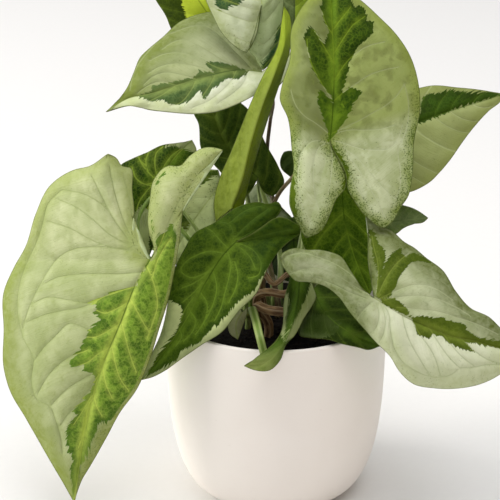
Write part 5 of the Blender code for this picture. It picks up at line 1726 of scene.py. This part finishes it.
def pot_finish():
    finish = Finish("matt_white_ceramic", Specular_IOR_Level=0.35)
    here = finish.here()
    cloud = finish.noise(here, 28.0, 2.0)
    tooth = finish.noise(here, 0.7, 3.0)
    speck = finish.noise(here, 1.6, 1.0).clear_of(0.74, 0.80)
    colour = finish.mix(cloud, tone("F4EDE5"), tone("F9F3EC"))
    colour = finish.mix(0.12 * speck, colour, tone("C9BDAE"))
    return finish.paint(colour, 0.50 + 0.12 * cloud + 0.05 * tooth, 0.3 * cloud + 0.7 * tooth, 0.05)


finish_piece("pot_shell", turned_mesh("pot_shell", pot_profile(), POT_SIDES), [pot_finish()],
             "pot")
print("pot profile points:", len(pot_profile()))

# %% [markdown]
# ## The soil
#
# Potting mix is nearly black and crumbly. The bed is a turned solid that fills the pot, with its
# top roughened by coarse and fine noise.

# %% Lay the soil
SOIL_GAP = 0.3
SOIL_SIDES = 150
SOIL_WALL_TOP = 84.0
SOIL_EDGE = 1.0
SOIL_ROUGHNESS = 0.54
COARSE_LUMPS, FINE_LUMPS = 0.35, 1.1


def soil_profile():
    radius = POT_RADIUS - WALL - SOIL_GAP
    top = [(r, soil_height(r, 0.0)) for r in np.linspace(1.0, radius, 64)]
    wall = [(pot_radius(h) - WALL - SOIL_GAP, h) for h in np.linspace(SOIL_WALL_TOP, LINING_FOOT, 8)]
    base = FLOOR_THICKNESS + SOIL_GAP
    return [(0.0, base), (pot_radius(FLOOR_THICKNESS) - WALL - FLOOR_COVE - SOIL_GAP, base),
            *reversed(wall), *reversed(top), (0.0, soil_height(0.0, 0.0))]


def soil_finish(name, dark, light, speck):
    finish = Finish(name, Specular_IOR_Level=0.2)
    here = finish.here()
    lump = finish.noise(here, 3.0, 4.0)
    grit = finish.noise(here, 0.8, 2.0)
    colour = finish.mix(lump.clear_of(0.35, 0.7), tone(dark), tone(light))
    colour = finish.mix(0.7 * grit.clear_of(0.66, 0.72), colour, tone(speck))
    return finish.paint(colour, 0.85 + 0.1 * lump, lump + 0.6 * grit, 0.8)


def roughen(mesh):
    """Move the points of the soil's top up and down by coarse and fine noise."""
    for vertex in mesh.vertices:
        at = vertex.co / MM
        if at.z > SOIL_LEVEL - 0.5 and math.hypot(at.x, at.y) < POT_RADIUS - WALL - SOIL_EDGE:
            lumps = noise.noise(at * COARSE_LUMPS) + 0.6 * noise.noise(at * FINE_LUMPS)
            vertex.co.z += SOIL_ROUGHNESS * MM * lumps


bed = turned_mesh("soil_bed", soil_profile(), SOIL_SIDES)
roughen(bed)
finish_piece("soil_bed", bed, [soil_finish("potting_mix", "080503", "150E08", "4A3826")], "soil")
print("points in the soil bed:", len(bed.vertices))

# %% [markdown]
# ## Crumbs on the soil
#
# Crumbs of bark and grit lie scattered over the bed. They are real lumps, because at this scale
# their shadows are what makes soil look like soil. Most are small and a few are large: the cube of
# a random number does that.

# %% Strew the crumbs
CRUMBS = 900
CRUMB_SEED = 7
CRUMB_EDGE = 3.0
CRUMB_SIZE, CRUMB_SPREAD = 0.45, 1.1
CRUMB_SHAPE = (1.0, 0.75, 0.5)
CRUMB_RISE = 0.2


def crumb_mesh(name, count, seed):
    """Many small crooked lumps resting on the soil, in one mesh."""
    chance = np.random.default_rng(seed)
    corners = np.array([(1, 0, 0), (0, 1, 0), (-1, 0, 0), (0, -1, 0), (0, 0, 1), (0, 0, -1)], float)
    sides = [(0, 1, 4), (1, 2, 4), (2, 3, 4), (3, 0, 4), (1, 0, 5), (2, 1, 5), (3, 2, 5), (0, 3, 5)]
    points, faces = [], []
    for n in range(count):
        r = (POT_RADIUS - WALL - CRUMB_EDGE) * math.sqrt(chance.random())
        angle = chance.random() * 2.0 * math.pi
        x, y = r * math.cos(angle), r * math.sin(angle)
        size = CRUMB_SIZE + CRUMB_SPREAD * chance.random()**3
        turn = chance.normal(size=(3, 3))
        turn = np.linalg.qr(turn)[0]
        turn *= np.sign(np.linalg.det(turn))
        shape = corners * size * (0.6 + 0.8 * chance.random((6, 1))) * CRUMB_SHAPE
        points.append(shape @ turn + (x, y, soil_height(x, y) + CRUMB_RISE * size))
        faces += [tuple(6 * n + c for c in side) for side in sides]
    mesh = bpy.data.meshes.new(name)
    mesh.from_pydata(np.vstack(points) * MM, [], faces)
    return mesh


crumbs = crumb_mesh("soil_crumbs", CRUMBS, CRUMB_SEED)
finish_piece("soil_crumbs", crumbs, [soil_finish("bark_crumbs", "120C07", "2C1F14", "6E5A3E")],
             "soil")
print("crumbs:", CRUMBS)

# %% [markdown]
# The fine pieces have to stay inside the box of the packed model.
